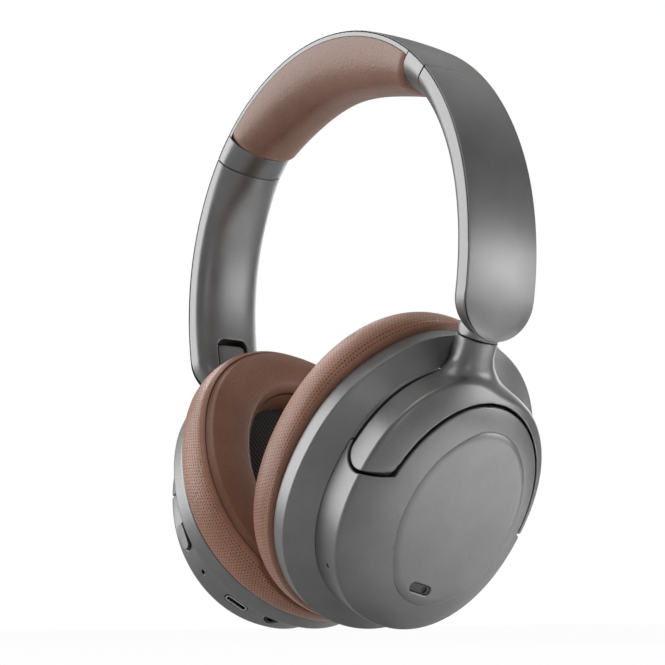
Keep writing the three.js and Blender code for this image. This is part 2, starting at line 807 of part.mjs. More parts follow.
function screwHead(y, z, radius, from, to) {
  return prism(
    smallDisc(radius), from, to, new THREE.Vector3(0, y, z),
    new THREE.Vector3(0, 1, 0), new THREE.Vector3(0, 0, 1),
  );
}

function baffle() {
  const back = baffleFront + baffleThickness;
  const body = stack([
    rimSeatRing(baffleFront), rimSeatRing(back),
    hiddenRing(back, driverRadius - 3, driverRadius - 3),
    hiddenRing(baffleFront, driverRadius - 3, driverRadius - 3),
  ], true);
  const holes = screwPlaces.flatMap(([y, z]) => [
    screwBar(y, z, screwRadius + 0.2, beyond),
    screwHead(y, z, screwHeadRadius + 0.3, baffleFront - 1, baffleFront + 0.1 + screwHeadHeight + 0.2),
  ]);
  return cut(body, ...holes);
}

function baffleScrew([y, z]) {
  const from = baffleFront + 0.1;
  const head = screwHead(y, z, screwHeadRadius, from, from + screwHeadHeight);
  return join(head, screwBar(y, z, screwRadius, screwLength - clearance));
}

function driver() {
  const front = baffleFront + baffleThickness + clearance;
  const profile = [
    [0, front + 1.2], [8, front + 0.6], [15, front], [driverRadius, front],
    [driverRadius, front + driverFlange], [magnetRadius + 2, front + driverFlange + 1.6],
    [magnetRadius, front + driverFlange + 1.6], [magnetRadius, magnetBack - 0.6],
    [magnetRadius - 0.6, magnetBack], [0, magnetBack],
  ].map(([radius, x]) => new THREE.Vector2(radius, x));
  const lathe = new THREE.LatheGeometry(profile, 20);
  lathe.rotateZ(-Math.PI / 2);
  return geometryOf(solid(facedOut(mergedBare(lathe))));
}

function mergedBare(geometry) {
  geometry.deleteAttribute("normal");
  geometry.deleteAttribute("uv");
  return mergeVertices(geometry, 1e-4);
}

function cushionRing() {
  const step = (x, extra) => hiddenRing(x, ringHalfWidth + extra, ringHalfHeight + extra);
  return stack([
    rimSeatRing(ringFront), rimSeatRing(ringBack),
    step(ringBack, 0), step(ringFront + ringStepDepth, 0),
    step(ringFront + ringStepDepth, ringStep), step(ringFront, ringStep),
  ], true);
}

function meshCloth() {
  const back = ringFront + ringStepDepth - clearance;
  const extra = ringStep - clearance;
  return stack([
    hiddenRing(back - clothThickness, ringHalfWidth + extra, ringHalfHeight + extra),
    hiddenRing(back, ringHalfWidth + extra, ringHalfHeight + extra),
  ]);
}

// Ear cushion: bulging side, stitched outer seam, crowned front, rounded lip, inner seam, inner wall.
function earCushion() {
  const front = cushionBack - cushionThickness;
  const ring = (share, x, extra = 0) => ({
    x,
    outline: oval(
      lerp(rimHalfWidth, openingHalfWidth, share) + extra,
      lerp(rimHalfHeight, openingHalfHeight, share) + extra, lerp(rimPower, 2, share),
      facetsOval, rimCentreY * (1 - share),
    ),
  });
  const side = [0.25, 0.5, 0.75].map((t) =>
    ring(0, cushionBack - cushionThickness * t * 0.94, cushionBulge * Math.sin(Math.PI * t)));
  const crown = [0.2, 0.36, 0.54, 0.72, 0.86].map((share) =>
    ring(share, front - cushionCrown * Math.sin(Math.PI * Math.min(1, share + 0.04)) ** 0.6));
  const rings = [
    ring(0, cushionBack, -seamGroove), ring(0, cushionBack - seamGroove), ...side,
    ring(0.045, front + seamGroove * 0.7), ring(0.075, front + seamGroove * 0.4),
    ring(0.1, front - cushionCrown * 0.35), ...crown,
    ring(0.95, front + cushionLip * 0.16), ring(1, front + cushionLip * 0.63),
    ring(1, front + cushionLip * 0.82, seamGroove * 0.5), ring(1, front + cushionLip),
    ring(1, cushionBack - cushionLip / 2), ring(0.97, cushionBack),
  ];
  const whole = stack(rings, true);
  return common(whole, meetingPlane());
}

// The half of space on this side of the mid-plane, in the cup's frame.
function meetingPlane() {
  const reach = 200;
  const slab = box([cushionMeetingGap, -reach, -reach], [reach * 2, reach, reach]);
  const cup = cupPlacement(1);
  cup.updateMatrixWorld(true);
  return slab.applyMatrix4(cup.matrixWorld.clone().invert());
}

// Fork: the crescent split from the outer body, with a neck that flares into it.
function fork() {
  const crescent = common(stack(outerRings(0, forkStart, beyond)), forkRegion(0, 0));
  const raked = new THREE.Matrix4().makeRotationX(-radians(rake));
  const neckLocal = neckInCup();
  const count = 24;
  const stations = [
    [0, 0, 0, neckRadius, neckRadius, 2.3],
    [2.2, 0.1, 0, neckRadius, neckRadius + 0.1, 2.3],
    [4.4, 0.5, 0.3, 6.1, 7.1, 2.3],
    [6.6, 1.2, 1, 5.9, 9.6, 2.4],
    [8.8, 1.9, 1.8, 5.5, 13, 2.5],
    [11, 2.4, 2, 5.1, 16.6, 2.6],
    [13.5, 2.6, 1.5, 4.9, 18, 2.7],
  ];
  const stem = loft(
    stations.map(([, , , halfDepth, halfWidth, power]) => oval(halfDepth, halfWidth, power, count)),
    (v, i) => {
      const [down, outward, back] = stations[i];
      return new THREE.Vector3(
        neckLocal.x + outward + v.x, neckLocal.y + back + v.y, neckLocal.z - down,
      ).applyMatrix4(raked);
    },
  );
  const roomForHousing = stack([
    rimRing(-9, -partingGap), rimRing(rimHeight - 0.5, -partingGap), rimRing(rimHeight + 0.4, 0.5 - partingGap),
    wallRing(wallStart + 0.2, -partingGap), wallRing(forkStart, 0),
  ]);
  const roomForDisc = stack([discRing(-5, partingGap), discRing(60, partingGap)]);
  const body = join(crescent, cut(stem, roomForHousing, roomForDisc));
  const pins = [-1, 1].map((side) => pivotBar(side, pivotRadius + 0.15, pivotInner, pivotOuter + clearance));
  return cut(body, ...pins, shaftInCup(shaftRadius + 0.15, 2, shaftInFork + clearance));
}

// The neck's place in the cup's frame before its rake.
function neckInCup() {
  const turn = new THREE.Matrix4().makeRotationFromEuler(
    new THREE.Euler(0, radians(toeIn), radians(restSwivel), "YZX"),
  );
  return neck.clone().sub(cupOrigin).applyMatrix4(turn.invert());
}

function shaftInCup(radius, up, down) {
  const raked = new THREE.Matrix4().makeRotationX(-radians(rake));
  const bar = prism(
    disc(radius), -down, up, neckInCup(), new THREE.Vector3(1, 0, 0), new THREE.Vector3(0, 1, 0),
  );
  return bar.applyMatrix4(raked);
}

const swivelShaft = () => shaftInCup(shaftRadius, shaftInKnuckle, shaftInFork);

// ---------------------------------------------------------------- sockets and button in the right cup's wall

// Place on the outer wall at a polar angle: its point, outward normal and the tangent round the oval.
function onWall(angle, x) {
  const t = radians(angle);
  const c = Math.cos(t);
  const s = Math.sin(t);
  const y = wallCentreY + wallHalfWidth * Math.sign(c) * Math.abs(c) ** (2 / wallPower);
  const z = wallCentreZ + wallHalfHeight * Math.sign(s) * Math.abs(s) ** (2 / wallPower);
  const slope = (sign, share, half) => (Math.sign(sign) * Math.abs(share) ** (wallPower - 1)) / half;
  const gradientY = slope(c, (y - wallCentreY) / wallHalfWidth, wallHalfWidth);
  const gradientZ = slope(s, (z - wallCentreZ) / wallHalfHeight, wallHalfHeight);
  const outward = new THREE.Vector3(0, gradientY, gradientZ).normalize();
  const axial = new THREE.Vector3(1, 0, 0);
  return { point: new THREE.Vector3(x, y, z), outward, axial, round: axial.clone().cross(outward) };
}

// A prism whose length runs along the wall's outward normal, measured from the wall's surface.
function throughWall(place, outline, from, to) {
  return prism(outline, from, to, place.point, place.round, place.axial);
}

const wallCut = (place, outline) => throughWall(place, outline, -wallCutDepth, wallCutDepth / 2);

const usbPlace = onWall(-110.5, 16.8);
const jackPlace = onWall(-89.3, 16.3);
const buttonPlace = onWall(-156.9, 17.8);
const lampPlace = onWall(-76, 17.4);
const voicePlace = onWall(-135.5, 17.4);

function usbPort() {
  const body = throughWall(
    usbPlace, slot(usbWidth - 2 * clearance, usbHeight - 2 * clearance), -usbDepth, -0.5,
  );
  const mouth = throughWall(usbPlace, slot(usbWidth - 1.5, usbHeight - 1.5), -usbDepth + 1, 1);
  const tongue = throughWall(usbPlace, slot(usbWidth - 3, 0.6), -usbDepth + 0.5, -1.4);
  return join(cut(body, mouth), tongue);
}

function jackSocket() {
  const collarPart = throughWall(jackPlace, disc(jackHole / 2 - clearance), -jackLength, -0.4);
  return cut(collarPart, throughWall(jackPlace, disc(jackBore / 2, 16), -jackLength + 1.5, 1));
}

const modeButton = () =>
  throughWall(buttonPlace, slot(buttonLength, buttonWidth), buttonProud - buttonDepth, buttonProud);

const rightWallCuts = () => [
  wallCut(usbPlace, slot(usbWidth, usbHeight)),
  wallCut(jackPlace, disc(jackHole / 2)),
  wallCut(buttonPlace, slot(buttonLength + 2 * clearance, buttonWidth + 2 * clearance)),
  wallCut(lampPlace, smallDisc(pinholeRadius)),
  wallCut(voicePlace, smallDisc(pinholeRadius)),
];

function battery() {
  const [depth, width, height] = batterySize;
  const top = cavityTop - clearance;
  const outline = oval(width / 2, height / 2, 6, 28);
  return loft([outline, outline], (v, i) => new THREE.Vector3(i ? top : top - depth, v.x, v.y));
}

function mainBoard() {
  const top = cavityTop - clearance;
  const plate = stack([
    hiddenRing(top - boardThickness, boardHalfWidth, boardHalfHeight),
    hiddenRing(top, boardHalfWidth, boardHalfHeight),
  ]);
  const chips = [[-6, -8, 7, 7, 1], [4, -6, 5, 4, 0.8], [-5, 6, 8, 5, 1.2], [6, 8, 4, 6, 0.9]]
    .map(([y, z, width, height, thick]) => box(
      [top - boardThickness - thick, y - width / 2, z - height / 2],
      [top - boardThickness + 0.2, y + width / 2, z + height / 2],
    ));
  return join(plate, ...chips);
}

// ---------------------------------------------------------------- assembly

// Group that carries a cup or a fork: side 1 is the wearer's left, -1 the right.
function cupPlacement(side) {
  const group = new THREE.Group();
  group.position.set(side * cupOrigin.x, 0, cupOrigin.z);
  group.rotation.set(radians(rake), side * radians(toeIn), side * radians(restSwivel), "YZX");
  return group;
}

function mirrored(geometry) {
  const copy = geometry.clone();
  copy.scale(-1, 1, 1);
  return flipped(copy);
}

function addPiece(group, name, geometry, material, side = 1) {
  const mesh = new THREE.Mesh(side < 0 ? mirrored(geometry) : geometry, material);
  mesh.name = name;
  group.add(mesh);
}

const headphones = new THREE.Group();
headphones.position.z = padDepthCrown;
addPiece(headphones, "headband_cover", headbandCover(), shellGrey);
addPiece(headphones, "headband_frame", headbandFrame(), rimSilver);
addPiece(headphones, "spring_band", springBand(), steel);
addPiece(headphones, "headband_pad", headbandPad(), leatherBrown);

const armPieces = [
  ["collar", collar(), shellGrey],
  ["arm_cover", armCover(), shellGrey],
  ["arm_shell", armShell(), rimSilver],
  ["slider_strip", sliderStrip(), steel],
  ["knuckle", knuckle(), rimSilver],
  ["fold_pin", foldPinBar(foldPinRadius, foldPinLength), steel],
];
const cupPieces = [
  ["fork", fork(), shellGrey],
  ["swivel_shaft", swivelShaft(), steel],
  ["pivot_pin_front", pivotBar(-1, pivotRadius), steel],
  ["pivot_pin_rear", pivotBar(1, pivotRadius), steel],
  ["cup_housing", cupHousing(), rimSilver],
  ["cup_plate", cupPlate(), shellGrey],
  ["mic_insert", micInsert(), blackPlastic],
  ["baffle", baffle(), blackPlastic],
  ...screwPlaces.map((place, i) => [`baffle_screw_${i + 1}`, baffleScrew(place), steel]),
  ["driver", driver(), blackPlastic],
  ["cushion_ring", cushionRing(), blackPlastic],
  ["mesh_cloth", meshCloth(), darkCloth],
  ["ear_cushion", earCushion(), leatherBrown],
];
const leftPieces = [
  ["cup_shell_left", cupShell([wallCut(voicePlace, smallDisc(pinholeRadius))]), shellGrey],
  ["battery", battery(), cellBlue],
];
const rightPieces = [
  ["cup_shell_right", cupShell(rightWallCuts()), shellGrey],
  ["main_board", mainBoard(), boardGreen],
  ["usb_port", usbPort(), steel],
  ["jack_socket", jackSocket(), blackPlastic],
  ["mode_button", modeButton(), shellGrey],
];

for (const [side, suffix, own] of [[1, "left", leftPieces], [-1, "right", rightPieces]]) {
  for (const [name, geometry, material] of armPieces) {
    addPiece(headphones, `${name}_${suffix}`, geometry, material, side);
  }
  const cup = cupPlacement(side);
  for (const [name, geometry, material] of cupPieces) {
    addPiece(cup, `${name}_${suffix}`, geometry, material, side);
  }
  for (const [name, geometry, material] of own) addPiece(cup, name, geometry, material, side);
  headphones.add(cup);
}

export default headphones;
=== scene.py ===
"""Looks of a pair of over-ear headphones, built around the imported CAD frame.

Shapes are worked out in millimetres and become metres when a mesh is made. The measures
repeat those of the CAD source, so every piece sits where its solid is.
"""
import math

import bmesh
import bpy
import numpy as np
from mathutils import Matrix, Vector


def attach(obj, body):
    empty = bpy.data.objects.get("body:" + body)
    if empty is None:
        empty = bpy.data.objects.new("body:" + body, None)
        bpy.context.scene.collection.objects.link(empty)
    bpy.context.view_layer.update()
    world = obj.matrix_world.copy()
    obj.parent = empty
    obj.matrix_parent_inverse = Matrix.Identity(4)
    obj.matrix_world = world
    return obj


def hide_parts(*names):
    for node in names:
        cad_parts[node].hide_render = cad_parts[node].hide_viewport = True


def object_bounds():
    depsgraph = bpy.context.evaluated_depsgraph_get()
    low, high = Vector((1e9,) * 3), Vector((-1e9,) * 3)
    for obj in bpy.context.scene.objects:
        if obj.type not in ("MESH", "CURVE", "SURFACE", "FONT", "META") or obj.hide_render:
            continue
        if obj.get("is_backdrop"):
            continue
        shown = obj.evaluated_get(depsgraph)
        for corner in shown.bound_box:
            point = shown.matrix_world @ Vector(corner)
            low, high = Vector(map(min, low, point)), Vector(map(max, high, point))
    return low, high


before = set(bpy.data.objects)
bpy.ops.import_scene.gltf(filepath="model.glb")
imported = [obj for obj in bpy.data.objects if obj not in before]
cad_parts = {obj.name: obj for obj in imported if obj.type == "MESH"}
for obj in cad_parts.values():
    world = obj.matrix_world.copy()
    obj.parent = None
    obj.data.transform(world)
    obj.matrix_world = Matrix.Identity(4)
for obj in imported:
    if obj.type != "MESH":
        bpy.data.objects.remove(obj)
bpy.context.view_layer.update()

MM = 0.001
SIDES = ((1, "left"), (-1, "right"))
scene = bpy.context.scene
scene.view_settings.view_transform = "Standard"

# ---- measures, in millimetres

BAND_TOP = 20.5  # the band's outer face above the origin, at the crown
ARCS = ((82.5, 29.6), (73.0, 25.4), (83.0, 27.6), (99.0, 26.8))  # radius and sweep in degrees
BAND_LENGTH = sum(radius * math.radians(sweep) for radius, sweep in ARCS)
BAND_WIDTH, ARM_WIDTH = 26.0, 26.8
TIP_RADIUS = ARM_WIDTH / 2
TIP_START = BAND_LENGTH - TIP_RADIUS
COVER_DEPTH = 1.2
CLEARANCE = 0.3
UNDER_COVER = COVER_DEPTH + CLEARANCE
SEAM_AT, PAD_END = 68.0, 57.0  # along the band from the crown
LIP = 1.1
CHANNEL_HALF, CHANNEL_DEPTH, CHANNEL_WALL = 8.0, 6.6, 1.2
PAD_DEPTH_CROWN, PAD_DEPTH_END = 20.5, 14.3
PAD_SOFT_END, PAD_END_SHRINK = 3.2, 0.14
PAD_ROUND, PAD_ROUND_DOWN = 0.82, 0.86
BAND_CROWN = 0.6
FACE_SIDE = 0.85  # visible depth of the cover's edge
STRIP_TOP = 1.05  # where the side strip starts, below the dark parting line
ROLL = 0.22  # rolled edge of the cover
ROLL_DEPTH = 0.2
COLLAR_DEPTH = 13.5
SEAM_DEPTH, SEAM_EDGE, SEAM_POWER = 12.0, 3.7, 1.8
ARM_DEPTH, ARM_EDGE, ARM_POWER = 9.9, 4.2, 2.4
ARM_TAPER, ARM_CLOSING = 26.0, 11.0
TIP_SHARE, TIP_REBATE = 0.4, (1.3, 0.8)  # share of the depth left at the tip; the step's size
WINDOW_TOP = BAND_LENGTH - 21.87
WINDOW_HALF, WINDOW_FLOOR, WINDOW_CORNER = 6.4, 2.4, 3.0
KNUCKLE_TOP = BAND_LENGTH - 19.67
KNUCKLE_HALF = 5.9
FOLD_PIN_AT, FOLD_PIN_DEPTH = BAND_LENGTH - 11.77, 6.0
FOLD_PIN_BORE, FOLD_PIN_REACH = 1.65, 10.3
SLIDER_TURN = 2.52  # degrees by which the strip lies flatter than the band at the seam
SLIDER_DEPTH = 6.2
SLOT_HALF_WIDTH, SLOT_HALF_HEIGHT, SLOT_REACH = 6.3, 0.9, 15.0
NECK_RADIUS = 6.2
SWIVEL_GAP = 0.4
NECK_RAISE = 0.9  # how far up its axis the swivel gap shows, above the record's neck

# Centre of the left cup's rim and of its swivel, from the band's top.
CUP = (31.0998, 0.0, -151.4096)
NECK = (65.7005, 0.0, -113.2073)
TOE_IN, REST_SWIVEL, RAKE = 26.8, -2.75, -14.2  # degrees
RIM = dict(width=42.3, height=49.4, power=2.11, y=-0.9, z=0.0)
WALL = dict(width=34.7, height=41.1, power=2.18, y=-0.5, z=-0.9)
PARTING = 0.9
RIM_HEIGHT, RIM_WALL = 6.2, 2.0
FLOOR_HOLE = (19.6, 25.5)
WALL_START = 11.4
DRAFT = 0.06  # how much the wall leans in, for each millimetre outward
SHELL_START = 11.22  # a hair above the housing, so the parting line stays thin
SHELL_WALL = 2.0
FORK_START = 13.1
WALL_END = 21.9
DOME_HEIGHT = 6.2
DISC = dict(width=28.0, height=34.0, power=2.0, y=2.3)
PLATE = dict(width=21.6, height=28.8, power=2.0, y=3.2, z=-1.6)
PLATE_FACE, PLATE_SEAT = 27.9, 25.8
PLATE_ROLL, PLATE_ROLL_DEPTH = 3.2, 0.85
CAVITY_TOP = 23.8
LOBE_RADIUS = 6.4
PIVOT_X, PIVOT_Z = FORK_START + LOBE_RADIUS, 6.3
SHELL_BORE, SHELL_BORE_FROM = 2.2, 18.0  # holes for the pivot pins
FORK_BORE, FORK_BORE_TO = 1.95, 31.5
SHAFT_BORE, SHAFT_BORE_DEPTH, STEM_END = 2.55, 7.3, 17.0
NECK_FOOT, NECK_SPREAD = (1.0, 41.0), 11.0  # where the crescent's edge is softer
CUSHION_BACK, CUSHION_THICK = -0.6, 13.2
CUSHION_CROWN, CUSHION_BULGE = 2.6, 2.2
CUSHION_FRONT = CUSHION_BACK - CUSHION_THICK
OPENING = (24.0, 33.5)
CLOTH_HALF, CLOTH_X = (26.5, 35.8), 0.05
CLOTH_CROWN, CLOTH_THICK = 0.6, 0.3
MEETING_GAP = 2.0
DOT_PITCH = 1.15
DOT_ROW = 0.86 * DOT_PITCH


# ---- small helpers


def lerp(a, b, t):
    return a + (b - a) * t


def smoothstep(value, low, high):
    t = np.clip((value - low) / (high - low), 0.0, 1.0)
    return t * t * (3 - 2 * t)


def evenly(a, b, steps):
    return [lerp(a, b, i / steps) for i in range(steps + 1)]


def signed_power(value, power):
    return np.copysign(np.abs(value) ** power, value)


def ring_turns(around):
    return 2 * np.pi * np.arange(around) / around


def oval_point(width, height, power, t, y=0.0, z=0.0):
    return (y + width * signed_power(np.cos(t), 2 / power),
            z + height * signed_power(np.sin(t), 2 / power))


def ring_rows(rings, around):
    """Points of ovals across the cup. A ring is its x, width, height, power, y and z."""
    return np.array([
        np.stack([np.full(around, x), *oval_point(*shape, ring_turns(around), *centre)], 1)
        for x, shape, centre in ((ring[0], ring[1:4], ring[4:]) for ring in rings)])


def cup_place(side):
    """Turn and place of a cup's own frame: x outward from the ear, z up the oval. Side 1 is left."""
    turn = (
        Matrix.Rotation(side * math.radians(TOE_IN), 3, "Y")
        @ Matrix.Rotation(side * math.radians(REST_SWIVEL), 3, "Z")
        @ Matrix.Rotation(math.radians(RAKE), 3, "X")
    )
    return np.array(turn), np.array([side * CUP[0], CUP[1], CUP[2] + BAND_TOP])


def in_cup(side, points):
    """Points of a cup's own frame, in space. The right cup mirrors the left one."""
    turn, centre = cup_place(side)
    return (np.asarray(points) * [side, 1, 1]) @ turn.T + centre


def new_object(name, points, faces, material, uvs=None, normals=None, outward=False, sharp=None):
    """A smooth mesh object from points in millimetres. uvs gives one pair for each face corner."""
    mesh = bpy.data.meshes.new(name)
    mesh.from_pydata((np.asarray(points, float) * MM).tolist(), [], faces)
    if uvs is not None:
        layer = mesh.uv_layers.new(name="sheet")
        layer.data.foreach_set("uv", np.asarray(uvs, np.float32).ravel())
    mesh.validate()
    mesh.polygons.foreach_set("use_smooth", [True] * len(mesh.polygons))
    if outward:
        bm = bmesh.new()
        bm.from_mesh(mesh)
        bmesh.ops.recalc_face_normals(bm, faces=bm.faces)
        bm.to_mesh(mesh)
        bm.free()
    if sharp is not None:
        mesh.set_sharp_from_angle(angle=math.radians(sharp))
    if normals is not None:
        mesh.normals_split_custom_set_from_vertices(normals.tolist())
    mesh.materials.append(material)
    obj = bpy.data.objects.new(name, mesh)
    scene.collection.objects.link(obj)
    return obj


def grid_faces(rows, columns, closed=False):
    """Quads between rows of points. Each row closes on itself, and the rows may close as well."""
    i, j = np.indices((rows if closed else rows - 1, columns)).reshape(2, -1)
    a, b = (i + 1) % rows, (j + 1) % columns
    return np.stack([i * columns + j, i * columns + b, a * columns + b, a * columns + j], 1)


def rows_object(name, rows, material, sharp=42):
    """A closed solid through rows of points that all have the same count."""
    count = len(rows[0])
    total = count * len(rows)
    faces = grid_faces(len(rows), count).tolist()
    faces += [list(range(count)), list(range(total - count, total))]
    return new_object(name, np.concatenate(rows), faces, material, outward=True, sharp=sharp)


def stand_in(piece, node, body):
    """The piece takes a node's place on its body."""
    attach(piece, body)
    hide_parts(node)
    return piece


# ---- materials


class Nodes:
    """Short way to build the node tree of a material, a world or a geometry group."""

    def __init__(self, owner):
        self.owner = owner
        if not isinstance(owner, bpy.types.NodeTree):
            owner.use_nodes = True
        self.tree = getattr(owner, "node_tree", owner)

    def connect(self, socket, value):
        if isinstance(value, bpy.types.NodeSocket):
            self.tree.links.new(value, socket)
        else:
            socket.default_value = value

    def add(self, kind, inputs=None, **settings):
        node = self.tree.nodes.new(kind)
        for key, value in settings.items():
            setattr(node, key, value)
        for key, value in (inputs or {}).items():
            self.connect(node.inputs[key], value)
        return node

    def math(self, operation, a, b=0.0):
        return self.add("ShaderNodeMath", {0: a, 1: b}, operation=operation).outputs[0]

    def mix(self, factor, a, b, blend_type="MIX"):
        inputs = {0: factor, 6: a, 7: b}
        return self.add("ShaderNodeMix", inputs, data_type="RGBA", blend_type=blend_type).outputs[2]

    def ramp(self, value, low, high, to_low=0.0, to_high=1.0):
        inputs = {0: value, 1: low, 2: high, 3: to_low, 4: to_high}
        return self.add("ShaderNodeMapRange", inputs).outputs[0]

    def place(self):
        return self.add("ShaderNodeTexCoord").outputs["Object"]

    def noise(self, scale, detail, roughness, vector=None):
        inputs = {"Vector": vector or self.place(), "Scale": scale, "Detail": detail,
                  "Roughness": roughness}
        return self.add("ShaderNodeTexNoise", inputs).outputs[0]

    def bump(self, height, distance, strength, normal=None):
        inputs = {"Height": height, "Distance": distance, "Strength": strength}
        if normal:
            inputs["Normal"] = normal
        return self.add("ShaderNodeBump", inputs).outputs[0]

    def fill(self, node_name, **sockets):
        """Sets the sockets of a node that is in the tree from the start."""
        for key, value in sockets.items():
            self.connect(self.tree.nodes[node_name].inputs[key.replace("_", " ")], value)
        return self.owner

    def shade(self, **sockets):
        return self.fill("Principled BSDF", **sockets)


def grey(value):
    return (value, value, value, 1.0)


def metal_paint(name, value, roughness):
    """Satin metallic paint: fine flake, faint mottling, and edges painted a little lighter as a
    painted highlight.
    """
    n = Nodes(bpy.data.materials.new(name))
    flake = n.noise(5200.0, 1.0, 0.6)
    mottle = n.noise(90.0, 3.0, 0.55)
    rounded = n.add("ShaderNodeBevel", {"Radius": 0.0003}, samples=6).outputs[0]
    flat = n.add("ShaderNodeNewGeometry").outputs["Normal"]
    dot = n.add("ShaderNodeVectorMath", {0: rounded, 1: flat}, operation="DOT_PRODUCT")
    # Painted highlight: the colour is lightened along edges, where the bevel's rounded normal turns
    # away from the flat one.
    edge = n.ramp(dot.outputs["Value"], 0.995, 0.8, 0.0, 0.1)
    base = n.mix(n.ramp(mottle, 0.35, 0.65), grey(value * 0.93), grey(value * 1.06))
    flecked = n.mix(n.ramp(flake, 0.45, 0.75, 0.0, 0.35), base, grey(value * 1.7))
    edge_highlighted = n.mix(edge, flecked, grey(min(1.0, value * 2.3)))
    fine = n.bump(flake, 0.000012, 0.35, rounded)
    rough = n.ramp(mottle, 0.3, 0.7, roughness - 0.03, roughness + 0.04)
    return n.shade(Base_Color=edge_highlighted, Metallic=0.8, Roughness=rough, Normal=fine)


# On the cushion's sheet v counts millimetres up the side. Elsewhere it is one of these.
FRONT_V, LINE_V = -5.0, -9.0
LEATHER_DARK, LEATHER_LIGHT = (0.235, 0.104, 0.062), (0.30, 0.140, 0.088)
LEATHER_GROOVE, LEATHER_HOLE = (0.14, 0.065, 0.042, 1), (0.02, 0.008, 0.005, 1)
PEBBLE = 0.000748  # size of the leather's grain, in metres


def punched_dots(n, color, height, side_painted_light):
    """Rows of punched dots up the cushion's side, its dark seam and stitch lines, and painted light
    that makes the side lighter than the front.
    """
    uv = n.add("ShaderNodeUVMap", uv_map="sheet").outputs[0]
    round_, up, _ = n.add("ShaderNodeSeparateXYZ", {0: uv}).outputs
    row = n.math("DIVIDE", up, DOT_ROW)
    shift = n.math("MULTIPLY", n.math("MODULO", n.math("FLOOR", row), 2.0), 0.5)
    along = n.math("ADD", n.math("DIVIDE", round_, DOT_PITCH), shift)
    across = n.math("SUBTRACT", n.math("FRACT", row), 0.5)
    beside = n.math("SUBTRACT", n.math("FRACT", along), 0.5)
    squared = n.math("ADD", n.math("MULTIPLY", beside, beside), n.math("MULTIPLY", across, across))
    hole = n.ramp(n.math("SQRT", squared), 0.16, 0.26, 0.88, 0.0)
    inside = n.math("MULTIPLY", n.ramp(up, 1.0, 1.3), n.ramp(up, 13.1, 12.8))
    hole = n.math("MULTIPLY", hole, inside)
    # Painted light: above the front's edge, the side's colour is multiplied lighter.
    side_lit = n.mix(1.0, color, (side_painted_light, side_painted_light, side_painted_light, 1), "MULTIPLY")
    color = n.mix(n.ramp(up, -1.0, 0.5), color, side_lit)
    dark = n.math("MAXIMUM", hole, n.ramp(up, FRONT_V - 0.4, FRONT_V - 1.6))
    color = n.mix(n.math("MULTIPLY", dark, 0.93), color, LEATHER_HOLE)
    return color, n.math("SUBTRACT", height, n.math("MULTIPLY", hole, 3.0))


def leather(name, lighting_tone, side_painted_light=None):
    """Brown protein leather: pebbled grain and soft mottling, in a tone that paints shade or light
    for the piece it covers. With a side's painted light it has punched dots and a side painted
    lighter.
    """
    n = Nodes(bpy.data.materials.new(name))
    inputs = {"Vector": n.place(), "Scale": 1.0 / PEBBLE, "Smoothness": 0.6}
    cells = n.add("ShaderNodeTexVoronoi", inputs, feature="SMOOTH_F1").outputs["Distance"]
    grain = n.noise(2600.0, 4.0, 0.6)
    mottle = n.noise(55.0, 4.0, 0.6)
    dark, light = ((*(c * lighting_tone for c in color), 1) for color in (LEATHER_DARK, LEATHER_LIGHT))
    base = n.mix(n.ramp(mottle, 0.32, 0.68), dark, light)
    color = n.mix(n.ramp(cells, 0.5, 0.95, 0.0, 0.45), base, LEATHER_GROOVE)
    height = n.math("ADD", n.math("MULTIPLY", cells, -1.0), n.math("MULTIPLY", grain, 0.35))
    specular, sheen = 0.5, 0.1
    if side_painted_light:
        color, height = punched_dots(n, color, height, side_painted_light)
        specular, sheen = 0.42, 0.05
    return n.shade(Base_Color=color, Roughness=n.ramp(mottle, 0.3, 0.7, 0.35, 0.43),
                   Normal=n.bump(height, 0.00009, 0.8), Specular_IOR_Level=specular,
                   Sheen_Weight=sheen, Sheen_Roughness=0.4)


def acoustic_cloth(name, stripe_pitch=0.0016, thread_pitch=0.00035):
    """Black woven cloth over the driver, with slanting lighter stripes."""
    n = Nodes(bpy.data.materials.new(name))
    _, y, z = n.add("ShaderNodeSeparateXYZ", {0: n.place()}).outputs

    def wave(value, pitch):
        return n.math("SINE", n.math("MULTIPLY", value, 2 * math.pi / pitch))

    slant = n.math("ADD", n.math("MULTIPLY", z, 0.5), y)
    thread = n.math("MULTIPLY", wave(z, thread_pitch), wave(y, thread_pitch))
    stripe = n.ramp(wave(slant, stripe_pitch), 0.1, 0.8)
    color = n.mix(stripe, grey(0.010), grey(0.075))
    color = n.mix(n.ramp(thread, -0.5, 0.9, 0.35, 0.0), color, grey(0.004))
    height = n.math("ADD", n.math("MULTIPLY", thread, 0.4), stripe)
    return n.shade(Base_Color=color, Roughness=0.9, Normal=n.bump(height, 0.00008, 0.8),
                   Sheen_Weight=0.2)


def moulded_plastic(name, color, roughness=0.55):
    """Plastic with a fine speck in its gloss and a soft mottle in its colour."""
    n = Nodes(bpy.data.materials.new(name))
    speck = n.noise(4200.0, 2.0, 0.6)
    mottle = n.noise(160.0, 3.0, 0.5)
    shade = n.mix(n.ramp(mottle, 0.35, 0.65, 0.0, 0.4), (*color, 1),
                  (*(min(1.0, c * 1.5 + 0.004) for c in color), 1))
    rough = n.ramp(speck, 0.3, 0.7, roughness - 0.06, roughness + 0.06)
    return n.shade(Base_Color=shade, Roughness=rough, Normal=n.bump(speck, 0.00002, 0.5))


def brushed_steel(name):
    n = Nodes(bpy.data.materials.new(name))
    stretch = n.add("ShaderNodeMapping", {"Vector": n.place(), "Scale": (1.0, 26.0, 1.0)})
    lines = n.noise(900.0, 4.0, 0.65, stretch.outputs[0])
    shade = n.mix(n.ramp(lines, 0.3, 0.7), grey(0.34), grey(0.52))
    rough = n.ramp(lines, 0.3, 0.7, 0.24, 0.4)
    return n.shade(Base_Color=shade, Metallic=1.0, Roughness=rough,
                   Normal=n.bump(lines, 0.00001, 0.4))


